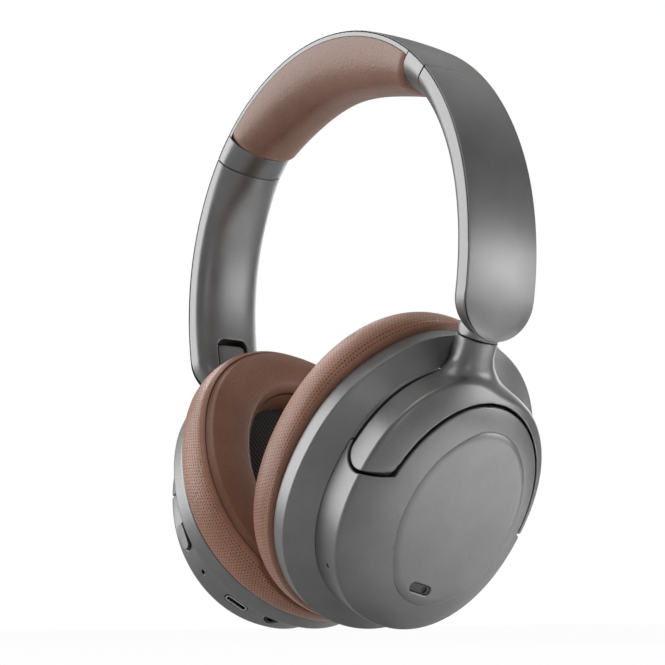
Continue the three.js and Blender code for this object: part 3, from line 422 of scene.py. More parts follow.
PAINT = metal_paint("grey_paint", 0.175, 0.34)
SILVER = metal_paint("silver_paint", 0.18, 0.38)
# Painted shade: the pad's leather is painted darker than the cushions' leather.
LEATHER_SHADED = leather("brown_leather", 0.8)
# Painted light: the cushions' sides are painted lighter than their fronts.
LEATHER_DOTS_LIT_SIDE = leather("brown_leather_dotted_painted_light", 0.95, side_painted_light=1.3)
CLOTH = acoustic_cloth("dark_cloth")
BLACK = moulded_plastic("black_plastic", (0.012, 0.012, 0.013))
MIC_PLASTIC = moulded_plastic("mic_plastic", (0.035, 0.035, 0.036), 0.4)
STEEL = brushed_steel("steel")
CELL = moulded_plastic("cell_wrap", (0.10, 0.12, 0.15), 0.4)
BOARD = moulded_plastic("board_green", (0.02, 0.10, 0.045), 0.45)
# Each finish and how the names of its nodes start. Every other node is painted grey.
FINISHES = (
    (STEEL, ("slider_strip", "spring_band", "fold_pin", "swivel_shaft", "pivot_pin",
             "baffle_screw", "usb_port")),
    (SILVER, ("headband_frame", "knuckle")),
    (BLACK, ("mic_insert", "baffle", "driver", "cushion_ring", "jack_socket")),
    (CLOTH, ("mesh_cloth",)), (CELL, ("battery",)), (BOARD, ("main_board",)),
    (LEATHER_SHADED, ("headband_pad", "ear_cushion")),
)


def smooth_by_angle(degrees):
    """Geometry nodes that weld a faceted mesh and shade it smooth below an angle."""
    group = bpy.data.node_groups.new("smooth_by_angle", "GeometryNodeTree")
    for way in ("INPUT", "OUTPUT"):
        group.interface.new_socket("Geometry", in_out=way, socket_type="NodeSocketGeometry")
    n = Nodes(group)
    whole = n.add("NodeGroupInput")
    bare = n.add("GeometryNodeRemoveAttribute", {0: whole.outputs[0], "Name": "custom_normal"})
    weld = n.add("GeometryNodeMergeByDistance", {0: bare.outputs[0], "Distance": 1e-6})
    faces = n.add("GeometryNodeSetShadeSmooth", {0: weld.outputs[0]}, domain="FACE")
    inputs = {0: n.add("GeometryNodeInputMeshEdgeAngle").outputs[0], 1: math.radians(degrees)}
    bent = n.add("FunctionNodeCompare", inputs, operation="GREATER_THAN").outputs[0]
    inputs = {0: faces.outputs[0], "Selection": bent, "Shade Smooth": False}
    edges = n.add("GeometryNodeSetShadeSmooth", inputs, domain="EDGE")
    n.add("NodeGroupOutput", {0: edges.outputs[0]})
    return group


SMOOTH = smooth_by_angle(32)
for node_name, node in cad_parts.items():
    node.data.materials.clear()
    node.data.materials.append(
        next((finish for finish, starts in FINISHES if node_name.startswith(starts)), PAINT))
    node.modifiers.new("smooth", "NODES").node_group = SMOOTH


# ---- headband's path


def band_at(distance):
    """Place in the plane of the band and heading, at a distance from the crown."""
    x = z = heading = 0.0
    left = distance
    for i, (radius, sweep) in enumerate(ARCS):
        turn = left / radius
        if i < len(ARCS) - 1:
            turn = min(turn, math.radians(sweep))
        x += radius * (math.sin(heading + turn) - math.sin(heading))
        z += radius * (math.cos(heading + turn) - math.cos(heading))
        heading += turn
        left -= turn * radius
        if left <= 1e-9:
            break
    return x, z, heading


def on_band(distance, y, depth):
    """Point at a distance along the outer face, an offset across it and a depth below it."""
    x, z, heading = band_at(abs(distance))
    side = -1 if distance < 0 else 1
    return (side * (x - depth * math.sin(heading)), y,
            z - depth * math.cos(heading) + BAND_TOP)


BAND_STEPS = np.arange(0, 170, 0.25)
BAND_TABLE = np.array([band_at(s) for s in BAND_STEPS])


def band_arrays(s):
    return (np.interp(s, BAND_STEPS, column) for column in BAND_TABLE.T)


# ---- rounded solids from fields


def soft_max(a, b, radius):
    h = np.clip(0.5 + 0.5 * (a - b) / radius, 0, 1)
    return b + (a - b) * h + radius * h * (1 - h)


def soft_min(a, b, radius):
    return -soft_max(-a, -b, radius)


def superellipse(u, v, width, height, power):
    """Distance to a superellipse and share of the way out to it, from shares of its half axes."""
    share = np.maximum((u ** power + v ** power) ** (1 / power), 1e-4)
    slope = np.hypot((u / share) ** (power - 1) / width, (v / share) ** (power - 1) / height)
    return (share - 1) / np.maximum(slope, 1e-6), share


def oval_field(y, z, shape, grow=0.0):
    width, height = shape["width"] + grow, shape["height"] + grow
    u = np.abs(y - shape.get("y", 0.0)) / width
    v = np.abs(z - shape.get("z", 0.0)) / height
    return superellipse(u, v, width, height, shape["power"])


def gradient(field, points, reach=0.02):
    slope = np.stack([
        (field(*(points + reach * axis).T) - field(*(points - reach * axis).T)) / (2 * reach)
        for axis in np.eye(3)], 1)
    size = np.maximum(np.linalg.norm(slope, axis=1, keepdims=True), 1e-6)
    return slope / size, size


def surface_net(field, low, high, step):
    """Quads on the zero surface of a field, from a grid over a box, with smooth normals."""
    axes = [np.arange(a - 1.5 * step, b + 2.5 * step, step) for a, b in zip(low, high)]
    value = field(*np.meshgrid(*axes, indexing="ij"))
    inside = value < 0

    def at_corner(grid, corner):
        return grid[tuple(slice(c, n - 1 + c) for c, n in zip(corner, grid.shape))]

    corners = list(np.ndindex(2, 2, 2))
    total = sum(at_corner(inside, c).astype(np.int8) for c in corners)
    active = (total > 0) & (total < 8)
    index = np.full(active.shape, -1, np.int64)
    index[active] = np.arange(active.sum())
    sums, counts = np.zeros((active.sum(), 3)), np.zeros(active.sum())
    for a in corners:
        for axis in range(3):
            if a[axis]:
                continue
            b = tuple(1 if n == axis else c for n, c in enumerate(a))
            va, vb = at_corner(value, a)[active], at_corner(value, b)[active]
            crossed = (va < 0) != (vb < 0)
            place = np.tile(np.array(a, float), (len(va), 1))
            place[:, axis] = np.where(crossed, va / np.where(crossed, va - vb, 1), 0)
            sums[crossed] += place[crossed]
            counts[crossed] += 1
    origin = np.array([axis[0] for axis in axes])
    points = origin + step * (np.argwhere(active) + sums / counts[:, None])
    faces = []
    for axis in range(3):
        others = [n for n in range(3) if n != axis]
        near, far = [slice(1, -1)] * 3, [slice(1, -1)] * 3
        near[axis], far[axis] = slice(0, -1), slice(1, None)
        a, b = inside[tuple(near)], inside[tuple(far)]
        spots = np.argwhere(a != b)
        spots[:, others] += 1
        ring = []
        for shift in ((-1, -1), (0, -1), (0, 0), (-1, 0)):
            cell = spots.copy()
            cell[:, others] += shift
            ring.append(index[tuple(cell.T)])
        quads = np.stack(ring, 1)
        turned = a[a != b] == (axis == 1)
        quads[turned] = quads[turned][:, ::-1]
        faces.append(quads)
    for _ in range(4):
        normals, size = gradient(field, points)
        points = points - normals * np.clip(field(*points.T)[:, None] / size, -step / 2, step / 2)
    return points, np.concatenate(faces), gradient(field, points)[0]


def cup_object(name, side, points, faces, normals, material, **finish):
    """An object from points in a cup's own frame, mirrored for the right cup."""
    if normals is not None:
        normals = (normals * [side, 1, 1]) @ cup_place(side)[0].T
    faces = (faces if side > 0 else faces[:, ::-1]).tolist()
    return new_object(name, in_cup(side, points), faces, material, normals=normals, **finish)


def smooth_table(rows, steps=24):
    """Rows of numbers joined by smooth curves over their first column."""
    rows = np.array(rows, float)
    slope = np.gradient(rows, rows[:, 0], axis=0)
    t = np.arange(steps)[:, None] / steps
    dense = []
    for a, b, slope_a, slope_b in zip(rows, rows[1:], slope, slope[1:]):
        bend = (t ** 3 - 2 * t ** 2 + t) * slope_a + (t ** 3 - t ** 2) * slope_b
        dense.append(lerp(a, b, 3 * t ** 2 - 2 * t ** 3) + bend * (b[0] - a[0]))
    return np.concatenate([*dense, rows[-1:]])


# ---- band and arms


def headband_pad():
    """Pad wrapped round the channel, soft at its ends, fullest at the crown."""
    top = UNDER_COVER + LIP + 0.1
    inner, floor = CHANNEL_HALF + CLEARANCE, UNDER_COVER + CHANNEL_DEPTH + CLEARANCE
    channel = [(inner, top), (inner, floor), (-inner, floor), (-inner, top)]
    stations = [-PAD_END, *evenly(-PAD_END + 0.25, -PAD_END + 3, 8),
                *evenly(-PAD_END + 4, PAD_END - 4, 150),
                *evenly(PAD_END - 3, PAD_END - 0.25, 8), PAD_END]
    turns = np.radians(evenly(0, 180, 56))
    across = -signed_power(np.cos(turns), PAD_ROUND)
    down = np.maximum(np.sin(turns), 0) ** PAD_ROUND_DOWN
    rows = []
    for s in stations:
        past = max(0.0, 1 - (PAD_END - abs(s)) / PAD_SOFT_END)
        shrink = math.sqrt(1 - PAD_END_SHRINK * past ** 2)
        deepest = lerp(PAD_DEPTH_CROWN, PAD_DEPTH_END, (abs(s) / PAD_END) ** 3)
        wrap = zip(across * BAND_WIDTH / 2 * shrink, top + down * (deepest - top) * shrink)
        rows.append([on_band(s, y, depth) for y, depth in [*wrap, *channel]])
    return rows_object("leather_pad", rows, LEATHER_SHADED, sharp=50)


def rounded_corners(outline, radius, steps=3):
    """A closed outline with each corner replaced by a small curve."""
    outline = np.array(outline, float)
    result = []
    for before, corner, after in zip(np.roll(outline, 1, 0), outline, np.roll(outline, -1, 0)):
        a, b = (corner + (end - corner) * min(radius / np.linalg.norm(end - corner), 0.45)
                for end in (before, after))
        for t in np.arange(steps + 1) / steps:
            result.append((1 - t) ** 2 * a + 2 * t * (1 - t) * corner + t * t * b)
    return np.array(result)


def drawn_in(outline, amount):
    """The outline moved inwards by an amount."""
    ahead, behind = np.roll(outline, -1, 0), np.roll(outline, 1, 0)
    tangent = ahead - behind
    normal = np.stack([-tangent[:, 1], tangent[:, 0]], 1)
    normal /= np.maximum(np.linalg.norm(normal, axis=1, keepdims=True), 1e-9)
    area = np.sum(outline[:, 0] * ahead[:, 1] - ahead[:, 0] * outline[:, 1])
    return outline + normal * amount * (1 if area > 0 else -1)


def soft_end(start, radius):
    """Distances and draw-ins that round off the first end of a loft."""
    return [(start + radius * (1 - math.sin(a)), radius * (1 - math.cos(a)))
            for a in np.radians(evenly(90, 0, 4))]


def band_loft(name, end, steps, radius, row_at, material):
    """A solid along the band from -end to end, through the rows at a distance and a draw-in."""
    first = soft_end(-end, radius)
    last = [(-s, inward) for s, inward in reversed(first)]
    middle = [(s, 0.0) for s in evenly(-end + radius, end - radius, steps)[1:-1]]
    rows = [[on_band(s, y, depth) for y, depth in row_at(s, inward)]
            for s, inward in first + middle + last]
    return rows_object(name, rows, material)


def cover_row(s, half, roll, roll_depth, outward=(0.0, 1.0)):
    """Points over the cover at one station: up a rolled edge, across the face, down the other."""
    rolled = [(0.0, FACE_SIDE)]
    rolled += [(roll * (1 - math.cos(a)), BAND_CROWN + roll_depth * (1 - math.sin(a)))
               for a in np.radians(evenly(0, 90, 7))]

    def edge(hand):
        return [(s - inset * outward[0], hand * (half - inset * outward[1]), depth)
                for inset, depth in rolled]

    at, reach = s - roll * outward[0], half - roll * outward[1]
    face = [(at, t * reach, BAND_CROWN * t * t) for t in evenly(-1, 1, 26)[1:-1]]
    return edge(-1) + face + edge(1)[::-1]


def drawn_cover_row(s, half, inward):
    """A row of the cover near its cut end, drawn in by an amount."""
    row = cover_row(s, half - inward, ROLL, ROLL_DEPTH)
    return [(y, depth + inward * (depth < 0.5)) for _, y, depth in row]


def band_cover():
    return band_loft("cover_band", SEAM_AT - CLEARANCE / 2, 190, ROLL,
                     lambda s, inward: drawn_cover_row(s, BAND_WIDTH / 2, inward), PAINT)


def arm_half(s):
    return lerp(BAND_WIDTH, ARM_WIDTH, smoothstep(s, SEAM_AT, WINDOW_TOP)) / 2


def arm_cover(side, suffix):
    """The arm's face plate, with a rolled edge round its tip."""
    start = SEAM_AT + CLEARANCE / 2
    stations = soft_end(start, ROLL)
    stations += [(s, 0.0) for s in evenly(start + ROLL, TIP_START, 74)[1:]]
    rows = [[(s, *place) for place in drawn_cover_row(s, arm_half(s), inward)]
            for s, inward in stations]
    for a in np.radians(evenly(0, 88.6, 40)[1:]):
        along, across = math.sin(a), math.cos(a)
        rows.append(cover_row(TIP_START + TIP_RADIUS * along, TIP_RADIUS * across,
                              lerp(ROLL, 0.5, along ** 2), ROLL, (along, across)))
    rows = [[on_band(side * s, y, depth) for s, y, depth in row] for row in rows]
    return rows_object(f"arm_face_{suffix}", rows, PAINT)


def band_frame():
    """Channel under the cover with its two lips beside the pad."""
    under, floor = UNDER_COVER + LIP, UNDER_COVER + CHANNEL_DEPTH
    outer, inner, half = CHANNEL_HALF, CHANNEL_HALF - CHANNEL_WALL, BAND_WIDTH / 2
    right = [(outer, floor), (outer, under), (half, under), (half, STRIP_TOP),
             (inner, STRIP_TOP), (inner, floor - CHANNEL_WALL)]
    left = [(-y, depth) for y, depth in reversed(right)]
    section = rounded_corners(left[2:] + right + left[:2], 0.22)
    return band_loft("frame_strip", PAD_END + CLEARANCE, 150, 0.02,
                     lambda s, inward: drawn_in(section, inward), SILVER)


def band_object(name, side, mesh, material):
    """An object from a surface net made in distance along, offset across and depth below."""
    places, faces, normals = mesh
    s, y, depth = places.T
    x, z, heading = band_arrays(s)
    sine, cosine, none = np.sin(heading), np.cos(heading), np.zeros(len(s))
    points = np.stack([side * (x - depth * sine), y, z - depth * cosine + BAND_TOP], 1)
    along = np.stack([side * cosine, none, -sine], 1)
    inward = np.stack([-side * sine, none, -cosine], 1)
    normals = along * normals[:, :1] + [0, 1.0, 0] * normals[:, 1:2] + inward * normals[:, 2:]
    normals /= np.linalg.norm(normals, axis=1, keepdims=True)
    a, b, c = (points[faces[:, n]] for n in range(3))
    if np.sum(np.cross(b - a, c - a) * normals[faces[:, 0]]) < 0:
        faces = faces[:, ::-1]
    return new_object(name, points, faces.tolist(), material, normals=normals)


def d_field(plan, half, depth, edge, deepest, power):
    """D-shaped section: straight sides down to an edge depth, then round to the deepest line."""
    reach = deepest - edge
    u, v = np.maximum(1 + plan / half, 0), np.maximum((depth - edge) / reach, 0)
    return superellipse(u, v, half, reach, power)[0]


def slider_slot(s, y, depth, forward=math.inf):
    """The straight strip's slot, where the band curves away from it, up to a reach forward."""
    origin_x, origin_z, heading = band_at(SEAM_AT)
    origin_x -= SLIDER_DEPTH * math.sin(heading)
    origin_z -= SLIDER_DEPTH * math.cos(heading)
    turn = heading - math.radians(SLIDER_TURN)
    x, z, bend = band_arrays(s)
    dx, dz = x - depth * np.sin(bend) - origin_x, z - depth * np.cos(bend) - origin_z
    along = dx * math.cos(turn) - dz * math.sin(turn)
    above = dx * math.sin(turn) + dz * math.cos(turn)
    section = np.maximum(np.abs(y) - SLOT_HALF_WIDTH, np.abs(above) - SLOT_HALF_HEIGHT)
    return np.maximum(section, along - forward)


def collar_field(s, y, depth):
    start, end = PAD_END + CLEARANCE + 0.02, SEAM_AT - CLEARANCE / 2
    deepest = lerp(COLLAR_DEPTH, SEAM_DEPTH, (s - start) / (end - start))
    half = BAND_WIDTH / 2
    body = d_field(np.abs(y) - half, half, depth, SEAM_EDGE, deepest, SEAM_POWER)
    body = soft_max(soft_max(body, STRIP_TOP - depth, 0.35), np.maximum(start - s, s - end), 0.08)
    return np.maximum(body, -slider_slot(s, y, depth))


def arm_field(s, y, depth):
    """The arm's back: its section changes from the seam on, and it closes round the tip."""
    t = smoothstep(s, SEAM_AT, SEAM_AT + ARM_TAPER)
    past = np.clip((s - (BAND_LENGTH - ARM_CLOSING)) / ARM_CLOSING, 0, 0.999)
    close = lerp(TIP_SHARE, 1, np.sqrt(1 - past ** 2))
    edge, deepest = (
        UNDER_COVER + (lerp(at_seam, at_arm, t) - UNDER_COVER) * close
        for at_seam, at_arm in ((SEAM_EDGE, ARM_EDGE), (SEAM_DEPTH, ARM_DEPTH)))
    half = arm_half(s)
    plan = np.where(s > TIP_START, np.hypot(s - TIP_START, y) - TIP_RADIUS, np.abs(y) - half)
    body = d_field(plan, half, depth, edge, deepest, lerp(SEAM_POWER, ARM_POWER, t))
    edge_top = STRIP_TOP + TIP_REBATE[1] * smoothstep(s, TIP_START - 3, TIP_START + 10)
    rebate = np.maximum(-TIP_REBATE[0] - plan, depth - edge_top)
    body = soft_max(soft_max(body, STRIP_TOP - depth, 0.35), SEAM_AT + CLEARANCE / 2 - s, 0.3)
    body = soft_max(body, -rebate, 0.3)
    aside, above = np.abs(y) - WINDOW_HALF + WINDOW_CORNER, WINDOW_TOP + WINDOW_CORNER - s
    window = np.hypot(np.maximum(aside, 0), np.maximum(above, 0)) + np.minimum(
        np.maximum(aside, above), 0) - WINDOW_CORNER
    body = soft_max(body, -np.maximum(window, WINDOW_FLOOR - depth), 0.5)
    body = np.maximum(body, -slider_slot(s, y, depth, SLOT_REACH))
    pin = np.hypot(s - FOLD_PIN_AT, depth - FOLD_PIN_DEPTH) - FOLD_PIN_BORE
    return np.maximum(body, -np.maximum(pin, np.abs(y) - FOLD_PIN_REACH))


def knuckle(side, suffix):
    """Block in the window that turns into a rounded neck above the swivel gap."""
    tilt = math.radians(TOE_IN)
    axis = np.array([math.sin(tilt), 0, math.cos(tilt)])
    across = np.array([math.cos(tilt), 0, -math.sin(tilt)])
    neck = np.array(NECK) + [0, 0, BAND_TOP]

    def in_arm(s, depth, thick, power):
        heading = band_at(s)[2]
        return [*on_band(s, 0, depth), math.sin(heading), math.cos(heading),
                thick, KNUCKLE_HALF, power]

    def on_axis(up, thick, wide, power, shift=0.0):
        centre = neck + axis * up + across * shift
        return [*centre, across[0], across[2], thick, wide, power]

    stations = [
        in_arm(KNUCKLE_TOP, 5.9, 3.1, 7),
        in_arm(KNUCKLE_TOP + 3, 5.9, 3.2, 7),
        in_arm(FOLD_PIN_AT, 6, 3.3, 6),
        in_arm(FOLD_PIN_AT + 5, 6.4, 3.6, 5.5),
        on_axis(5.4, 4.7, KNUCKLE_HALF, 4.2, 0.5),
        on_axis(3.4, 5.6, 6.05, 3.2, 0.15),
        on_axis(NECK_RAISE + SWIVEL_GAP, NECK_RADIUS, NECK_RADIUS, 2.2)]
    table = smooth_table([[i, *row] for i, row in enumerate(stations)], 12)[:, 1:]

    def row_at(station, inward=0.0, shift=0.0, narrower=0.0):
        place, (out_x, out_z, thick, wide, power) = station[:3], station[3:]
        u, v = oval_point(thick - inward, wide - inward - narrower, power, ring_turns(72))
        down = np.array([out_z, 0, -out_x]) * shift
        return (place + np.outer(u, [out_x, 0, out_z]) + np.outer(v, [0, 1, 0]) + down) * [side, 1, 1]

    rows = [row_at(table[0], 0.4 * u, 1.5 * v, 1.3 * u)
            for u, v in ((1 - math.cos(a), 1 - math.sin(a)) for a in np.radians(evenly(90, 0, 7)))]
    rows += [row_at(station) for station in table[7:-1]]
    rows += [row_at(table[-1], 0.15 * (1 - math.cos(a)), -0.15 * (1 - math.sin(a)))
             for a in np.radians(evenly(0, 90, 4))]
    return rows_object(f"knee_{suffix}", rows, SILVER, sharp=50)


def dense_band_pieces():
    stand_in(band_cover(), "headband_cover", "headband")
    stand_in(band_frame(), "headband_frame", "headband")
    collar_mesh = surface_net(collar_field, [PAD_END, -13.2, 0.8], [SEAM_AT, 13.2, 13.8], 0.34)
    arm_mesh = surface_net(arm_field, [SEAM_AT, -13.6, 0.8], [BAND_LENGTH + 0.2, 13.6, 12.3], 0.42)
    for side, suffix in SIDES:
        arm = f"{suffix}_arm"
        collar = band_object(f"collar_sleeve_{suffix}", side, collar_mesh, PAINT)
        stand_in(collar, f"collar_{suffix}", "headband")
        stand_in(arm_cover(side, suffix), f"arm_cover_{suffix}", arm)
        back = band_object(f"arm_back_{suffix}", side, arm_mesh, SILVER)
        stand_in(back, f"arm_shell_{suffix}", arm)
        stand_in(knuckle(side, suffix), f"knuckle_{suffix}", arm)


# ---- cups


def body_field(x, y, z, edge=0.8):
    """The domed body that the shell and the fork are both cut from."""
    wall, share = oval_field(y, z, WALL)
    wall = wall + DRAFT * np.maximum(x - WALL_START, 0)
    share = np.minimum(share, 1.3)
    height = WALL_END + DOME_HEIGHT * (1 - share ** 4)
    slope = DOME_HEIGHT * 4 * share ** 3 / WALL["width"]
    return soft_max(wall, (x - height) / np.sqrt(1 + slope ** 2), edge)


def bar_field(x, z, radius):
    return np.hypot(x - PIVOT_X, z - PIVOT_Z) - radius


def split_field(x, z, grow):
    return np.minimum(PIVOT_Z - z, bar_field(x, z, LOBE_RADIUS) - grow)


def wall_place(angle, x):
    """A point on the cup's wall, its outward direction and the direction round the wall."""
    width, height, power = WALL["width"], WALL["height"], WALL["power"]
    y, z = oval_point(width, height, power, math.radians(angle))
    slope = np.array([0.0, signed_power(y / width, power - 1) / width,
                      signed_power(z / height, power - 1) / height])
    outward = slope / np.linalg.norm(slope)
    return np.array([x, y + WALL["y"], z + WALL["z"]]), outward, np.cross([1.0, 0, 0], outward)


def lip_flare(depth, flare):
    return flare * np.clip(1 + depth / 0.5, 0, 1.5) ** 2


def socket_field(place, length, width, flare, x, y, z):
    """A slot through the wall with softened lips."""
    point, outward, round_ = place
    dx, dy, dz = x - point[0], y - point[1], z - point[2]
    along = dy * round_[1] + dz * round_[2]
    depth = dy * outward[1] + dz * outward[2]
    slot = np.hypot(np.maximum(np.abs(along) - (length - width) / 2, 0), dx) - width / 2
    return np.maximum(slot - lip_flare(depth, flare), np.abs(depth) - 6)


# Each cut: its place by angle round the wall and height, its length, width and flare.
VOICE_PORT = (wall_place(-135.5, 17.4), 1.6, 1.1, 0.1)
CUTS = {
    "left": (VOICE_PORT,),
    "right": (
        (wall_place(-110.5, 16.8), 8.9, 3.2, 0.25),  # USB-C
        (wall_place(-89.0, 16.3), 5.8, 5.8, 0.25),  # jack
        (wall_place(-156.9, 17.8), 9.8, 3.8, 0.15),  # button
        (wall_place(-76.0, 17.4), 1.1, 1.1, 0.1),  # lamp
        VOICE_PORT),
}


def shell_field(cuts):
    """The domed body less the fork's room, hollow, with the plate's seat and the cuts."""
    def field(x, y, z):
        disc, _ = oval_field(y, z, DISC)
        kept = soft_min(-split_field(x, z, PARTING), disc, 0.3)
        outside = soft_max(body_field(x, y, z), kept, 0.45)
        hollow = np.maximum(outside + SHELL_WALL, x - CAVITY_TOP)
        shell = np.maximum(np.maximum(outside, -hollow), SHELL_START - x)
        seat = np.maximum(oval_field(y, z, PLATE, -0.7)[0], PLATE_SEAT - x)
        shell = np.maximum(shell, -seat)
        for place, length, width, flare in cuts:
            hole = socket_field(place, length, width, flare, x, y, z)
            shell = soft_max(shell, -hole, min(0.2, width / 12))
        pin = np.maximum(bar_field(x, z, SHELL_BORE), SHELL_BORE_FROM - np.abs(y))
        return np.maximum(shell, -pin)
    return field


# The fork's stem, down its raked axis: distance down, shifts out and back, half sizes, power.
STEM = smooth_table([
    [0, 0, 0, 6.2, 6.2, 2.25], [3, 0.2, 0, 6.15, 6.2, 2.25], [6, 0.7, 0.2, 5.9, 6.8, 2.3],
    [9, 1.3, 0.4, 5.4, 8.4, 2.3], [12, 1.5, 0.6, 4.8, 10.2, 2.3], [17, 1.0, 0.6, 4.0, 11.0, 2.4]])
UNRAKE = np.array(Matrix.Rotation(math.radians(RAKE), 3, "X"))
NECK_IN_CUP = np.array(
    (Matrix.Rotation(math.radians(TOE_IN), 3, "Y")
     @ Matrix.Rotation(math.radians(REST_SWIVEL), 3, "Z")).inverted()
    @ (Vector(NECK) - Vector(CUP)))


def stem_field(x, y, z):
    """The stem, the shaft's hole in it and the plane of the swivel gap above it."""
    raked_y = UNRAKE[1, 1] * y + UNRAKE[1, 2] * z
    down = NECK_IN_CUP[2] - UNRAKE[2, 1] * y - UNRAKE[2, 2] * z
    out, back, depth, width, power = (np.interp(down, STEM[:, 0], STEM[:, n]) for n in range(1, 6))
    u = np.abs(x - NECK_IN_CUP[0] - out) / depth
    v = np.abs(raked_y - NECK_IN_CUP[1] - back) / width
    side, _ = superellipse(u, v, depth, width, power)
    hole = np.hypot(x - NECK_IN_CUP[0], raked_y - NECK_IN_CUP[1]) - SHAFT_BORE
    top = -NECK_RAISE - down
    stem = soft_max(side, np.maximum(top, down - STEM_END), 0.15)
    return stem, np.maximum(hole, down - SHAFT_BORE_DEPTH), top


def cone_shape(share, grow=0.0):
    """The cup's oval at a share of the way from the rim to the wall."""
    shape = {key: lerp(RIM[key], WALL[key], share) for key in RIM}
    shape["width"] += grow
    shape["height"] += grow
    return shape


def room_field(x, y, z):
    """The housing with the parting gap round it."""
    xs = [-9, RIM_HEIGHT - 0.5, RIM_HEIGHT + 0.4, WALL_START + 0.2, FORK_START]
    share = np.interp(x, xs, [0, 0, 0, 1, 1])
    grow = np.interp(x, xs, [PARTING, PARTING, PARTING - 0.5, PARTING, 0.0])
    return np.maximum(oval_field(y, z, cone_shape(share, grow))[0] * 0.8, x - FORK_START)


def fork_field(x, y, z):
    disc, _ = oval_field(y, z, DISC, PARTING)
    near_neck = np.exp(-((y - NECK_FOOT[0]) ** 2 + (z - NECK_FOOT[1]) ** 2) / NECK_SPREAD ** 2)
    crescent = soft_max(body_field(x, y, z, 0.8 + 3.5 * near_neck), FORK_START + 0.25 - x, 0.4)
    crescent = soft_max(crescent, split_field(x, z, 0.0), 0.4)
    stem, hole, top = stem_field(x, y, z)
    whole = -1.5 * np.logaddexp(-crescent / 1.5, -stem / 1.5)
    whole = soft_max(np.maximum(whole, top), -room_field(x, y, z), 0.35)
    whole = soft_max(whole, -disc, 0.4)
    pin = np.maximum(bar_field(x, z, FORK_BORE), np.abs(y) - FORK_BORE_TO)
    return np.maximum(np.maximum(whole, -hole), -pin)


# The rim goes in at the upper front and out at the lower front: angle, spread and amount.
RIM_BENDS = ((137, 28, -1.7), (215, 25, 0.7))


def rim_shift(turns):
    """Shift of the rim from its plain oval."""
    amount = sum(shift * np.exp(-((np.degrees(turns) - angle) / spread) ** 2)
                 for angle, spread, shift in RIM_BENDS)
    return np.stack([0 * turns, amount * np.cos(turns), amount * np.sin(turns)], 1)


def between(x, share, inset=0.0):
    return (x, *cone_shape(share, -inset).values())


def cup_housing(side, suffix):
    """Rim, conical shoulder and floor as one closed loop of rings with softened edges.

    The ledge above the shoulder stands only on the fork's side; below, the shell takes its place.
    """
    top, ledge, floor = WALL_START - CLEARANCE, FORK_START - PARTING, WALL_START - CLEARANCE - 1.8
    soft = [(1 - math.cos(a), math.sin(a)) for a in np.radians([0, 30, 60, 90])]
    rings = [between(0.5 * u, 0, 0.5 * (1 - v)) for u, v in soft]
    rings += [between(RIM_HEIGHT * t, 0) for t in (0.3, 0.6, 0.85)]
    rings += [between(RIM_HEIGHT - 0.35, 0), between(RIM_HEIGHT - 0.12, 0, 0.06),
              between(RIM_HEIGHT, 0, 0.2), between(RIM_HEIGHT + 0.15, 0.02, 0.35)]
    rings += [between(lerp(RIM_HEIGHT + 0.3, top - 0.1, t), lerp(0.05, 0.975, t), 0.4 * (1 - t))
              for t in (0, 0.2, 0.4, 0.6, 0.8, 0.96, 1)]
    rings += [between(top, 0.99), between(top + 0.12, 1), between(top + 0.4, 1),
              between(ledge - 0.15, 1), between(ledge, 1, 0.15)]
    rings += [(height, *FLOOR_HOLE, 2, 0, 0) for height in (ledge, floor)]
    rings += [between(floor, 1, 1.6), between(RIM_HEIGHT - 1.4, 0, RIM_WALL),
              between(0, 0, RIM_WALL)]
    around = 288
    points = ring_rows(rings, around)
    weight = np.clip((top - points[:, :, :1]) / (top - RIM_HEIGHT), 0, 1)
    points = (points + weight * rim_shift(ring_turns(around))).reshape(-1, 3)
    ledge_share = np.clip((points[:, 2] - PIVOT_Z - 0.1) / 0.3, 0.02, 1)
    above = points[:, 0] > top + 0.05
    points[above, 0] = top + (points[above, 0] - top) * ledge_share[above]
    faces = grid_faces(len(rings), around, closed=True)
    return cup_object(f"housing_{suffix}", side, points, faces, None, SILVER,
                      outward=True, sharp=40)


MIC_PLACE, MIC_TURN = (1.7, -25.2), math.radians(1)
MIC_STRAIGHT, MIC_ROUND = 2.55, 1.45  # half of the slot's straight part, radius of its ends
MIC_PORT_AT, MIC_PORT = 1.8, 1.0


def mic_oval(y, z):
    """Distance to the slot's outline and to the middle of the port at its rear end."""
    dy, dz = y - MIC_PLACE[0], z - MIC_PLACE[1]
    u = dy * math.cos(MIC_TURN) + dz * math.sin(MIC_TURN)
    v = dz * math.cos(MIC_TURN) - dy * math.sin(MIC_TURN)
    slot = np.hypot(np.maximum(np.abs(u) - MIC_STRAIGHT, 0), v) - MIC_ROUND
    return slot, np.hypot(u - MIC_PORT_AT, v)


def mic_insert(side, suffix):
    """Flat insert on the slot's floor, with the microphone's port sunk in it."""
    def field(x, y, z):
        slot, port = mic_oval(y, z)
        body = soft_max(slot + 0.12, x - PLATE_FACE + 0.45, 0.15)
        body = soft_max(body, PLATE_FACE - 0.95 - x, 0.1)
        return soft_max(body, -np.maximum(port - MIC_PORT, PLATE_FACE - 0.85 - x), 0.1)

    middle, reach = np.array([27.2, *MIC_PLACE]), np.array([0.6, 4.4, 2.4])
    points, faces, normals = surface_net(field, middle - reach, middle + reach, 0.12)
    insert = cup_object(f"mic_plug_{suffix}", side, points, faces, normals, MIC_PLASTIC)
    insert.data.materials.append(BLACK)
    middles = points[faces].mean(1)
    in_port = mic_oval(middles[:, 1], middles[:, 2])[1] < MIC_PORT + 0.02
    insert.data.polygons.foreach_set("material_index", in_port.astype(np.int32))
    return insert


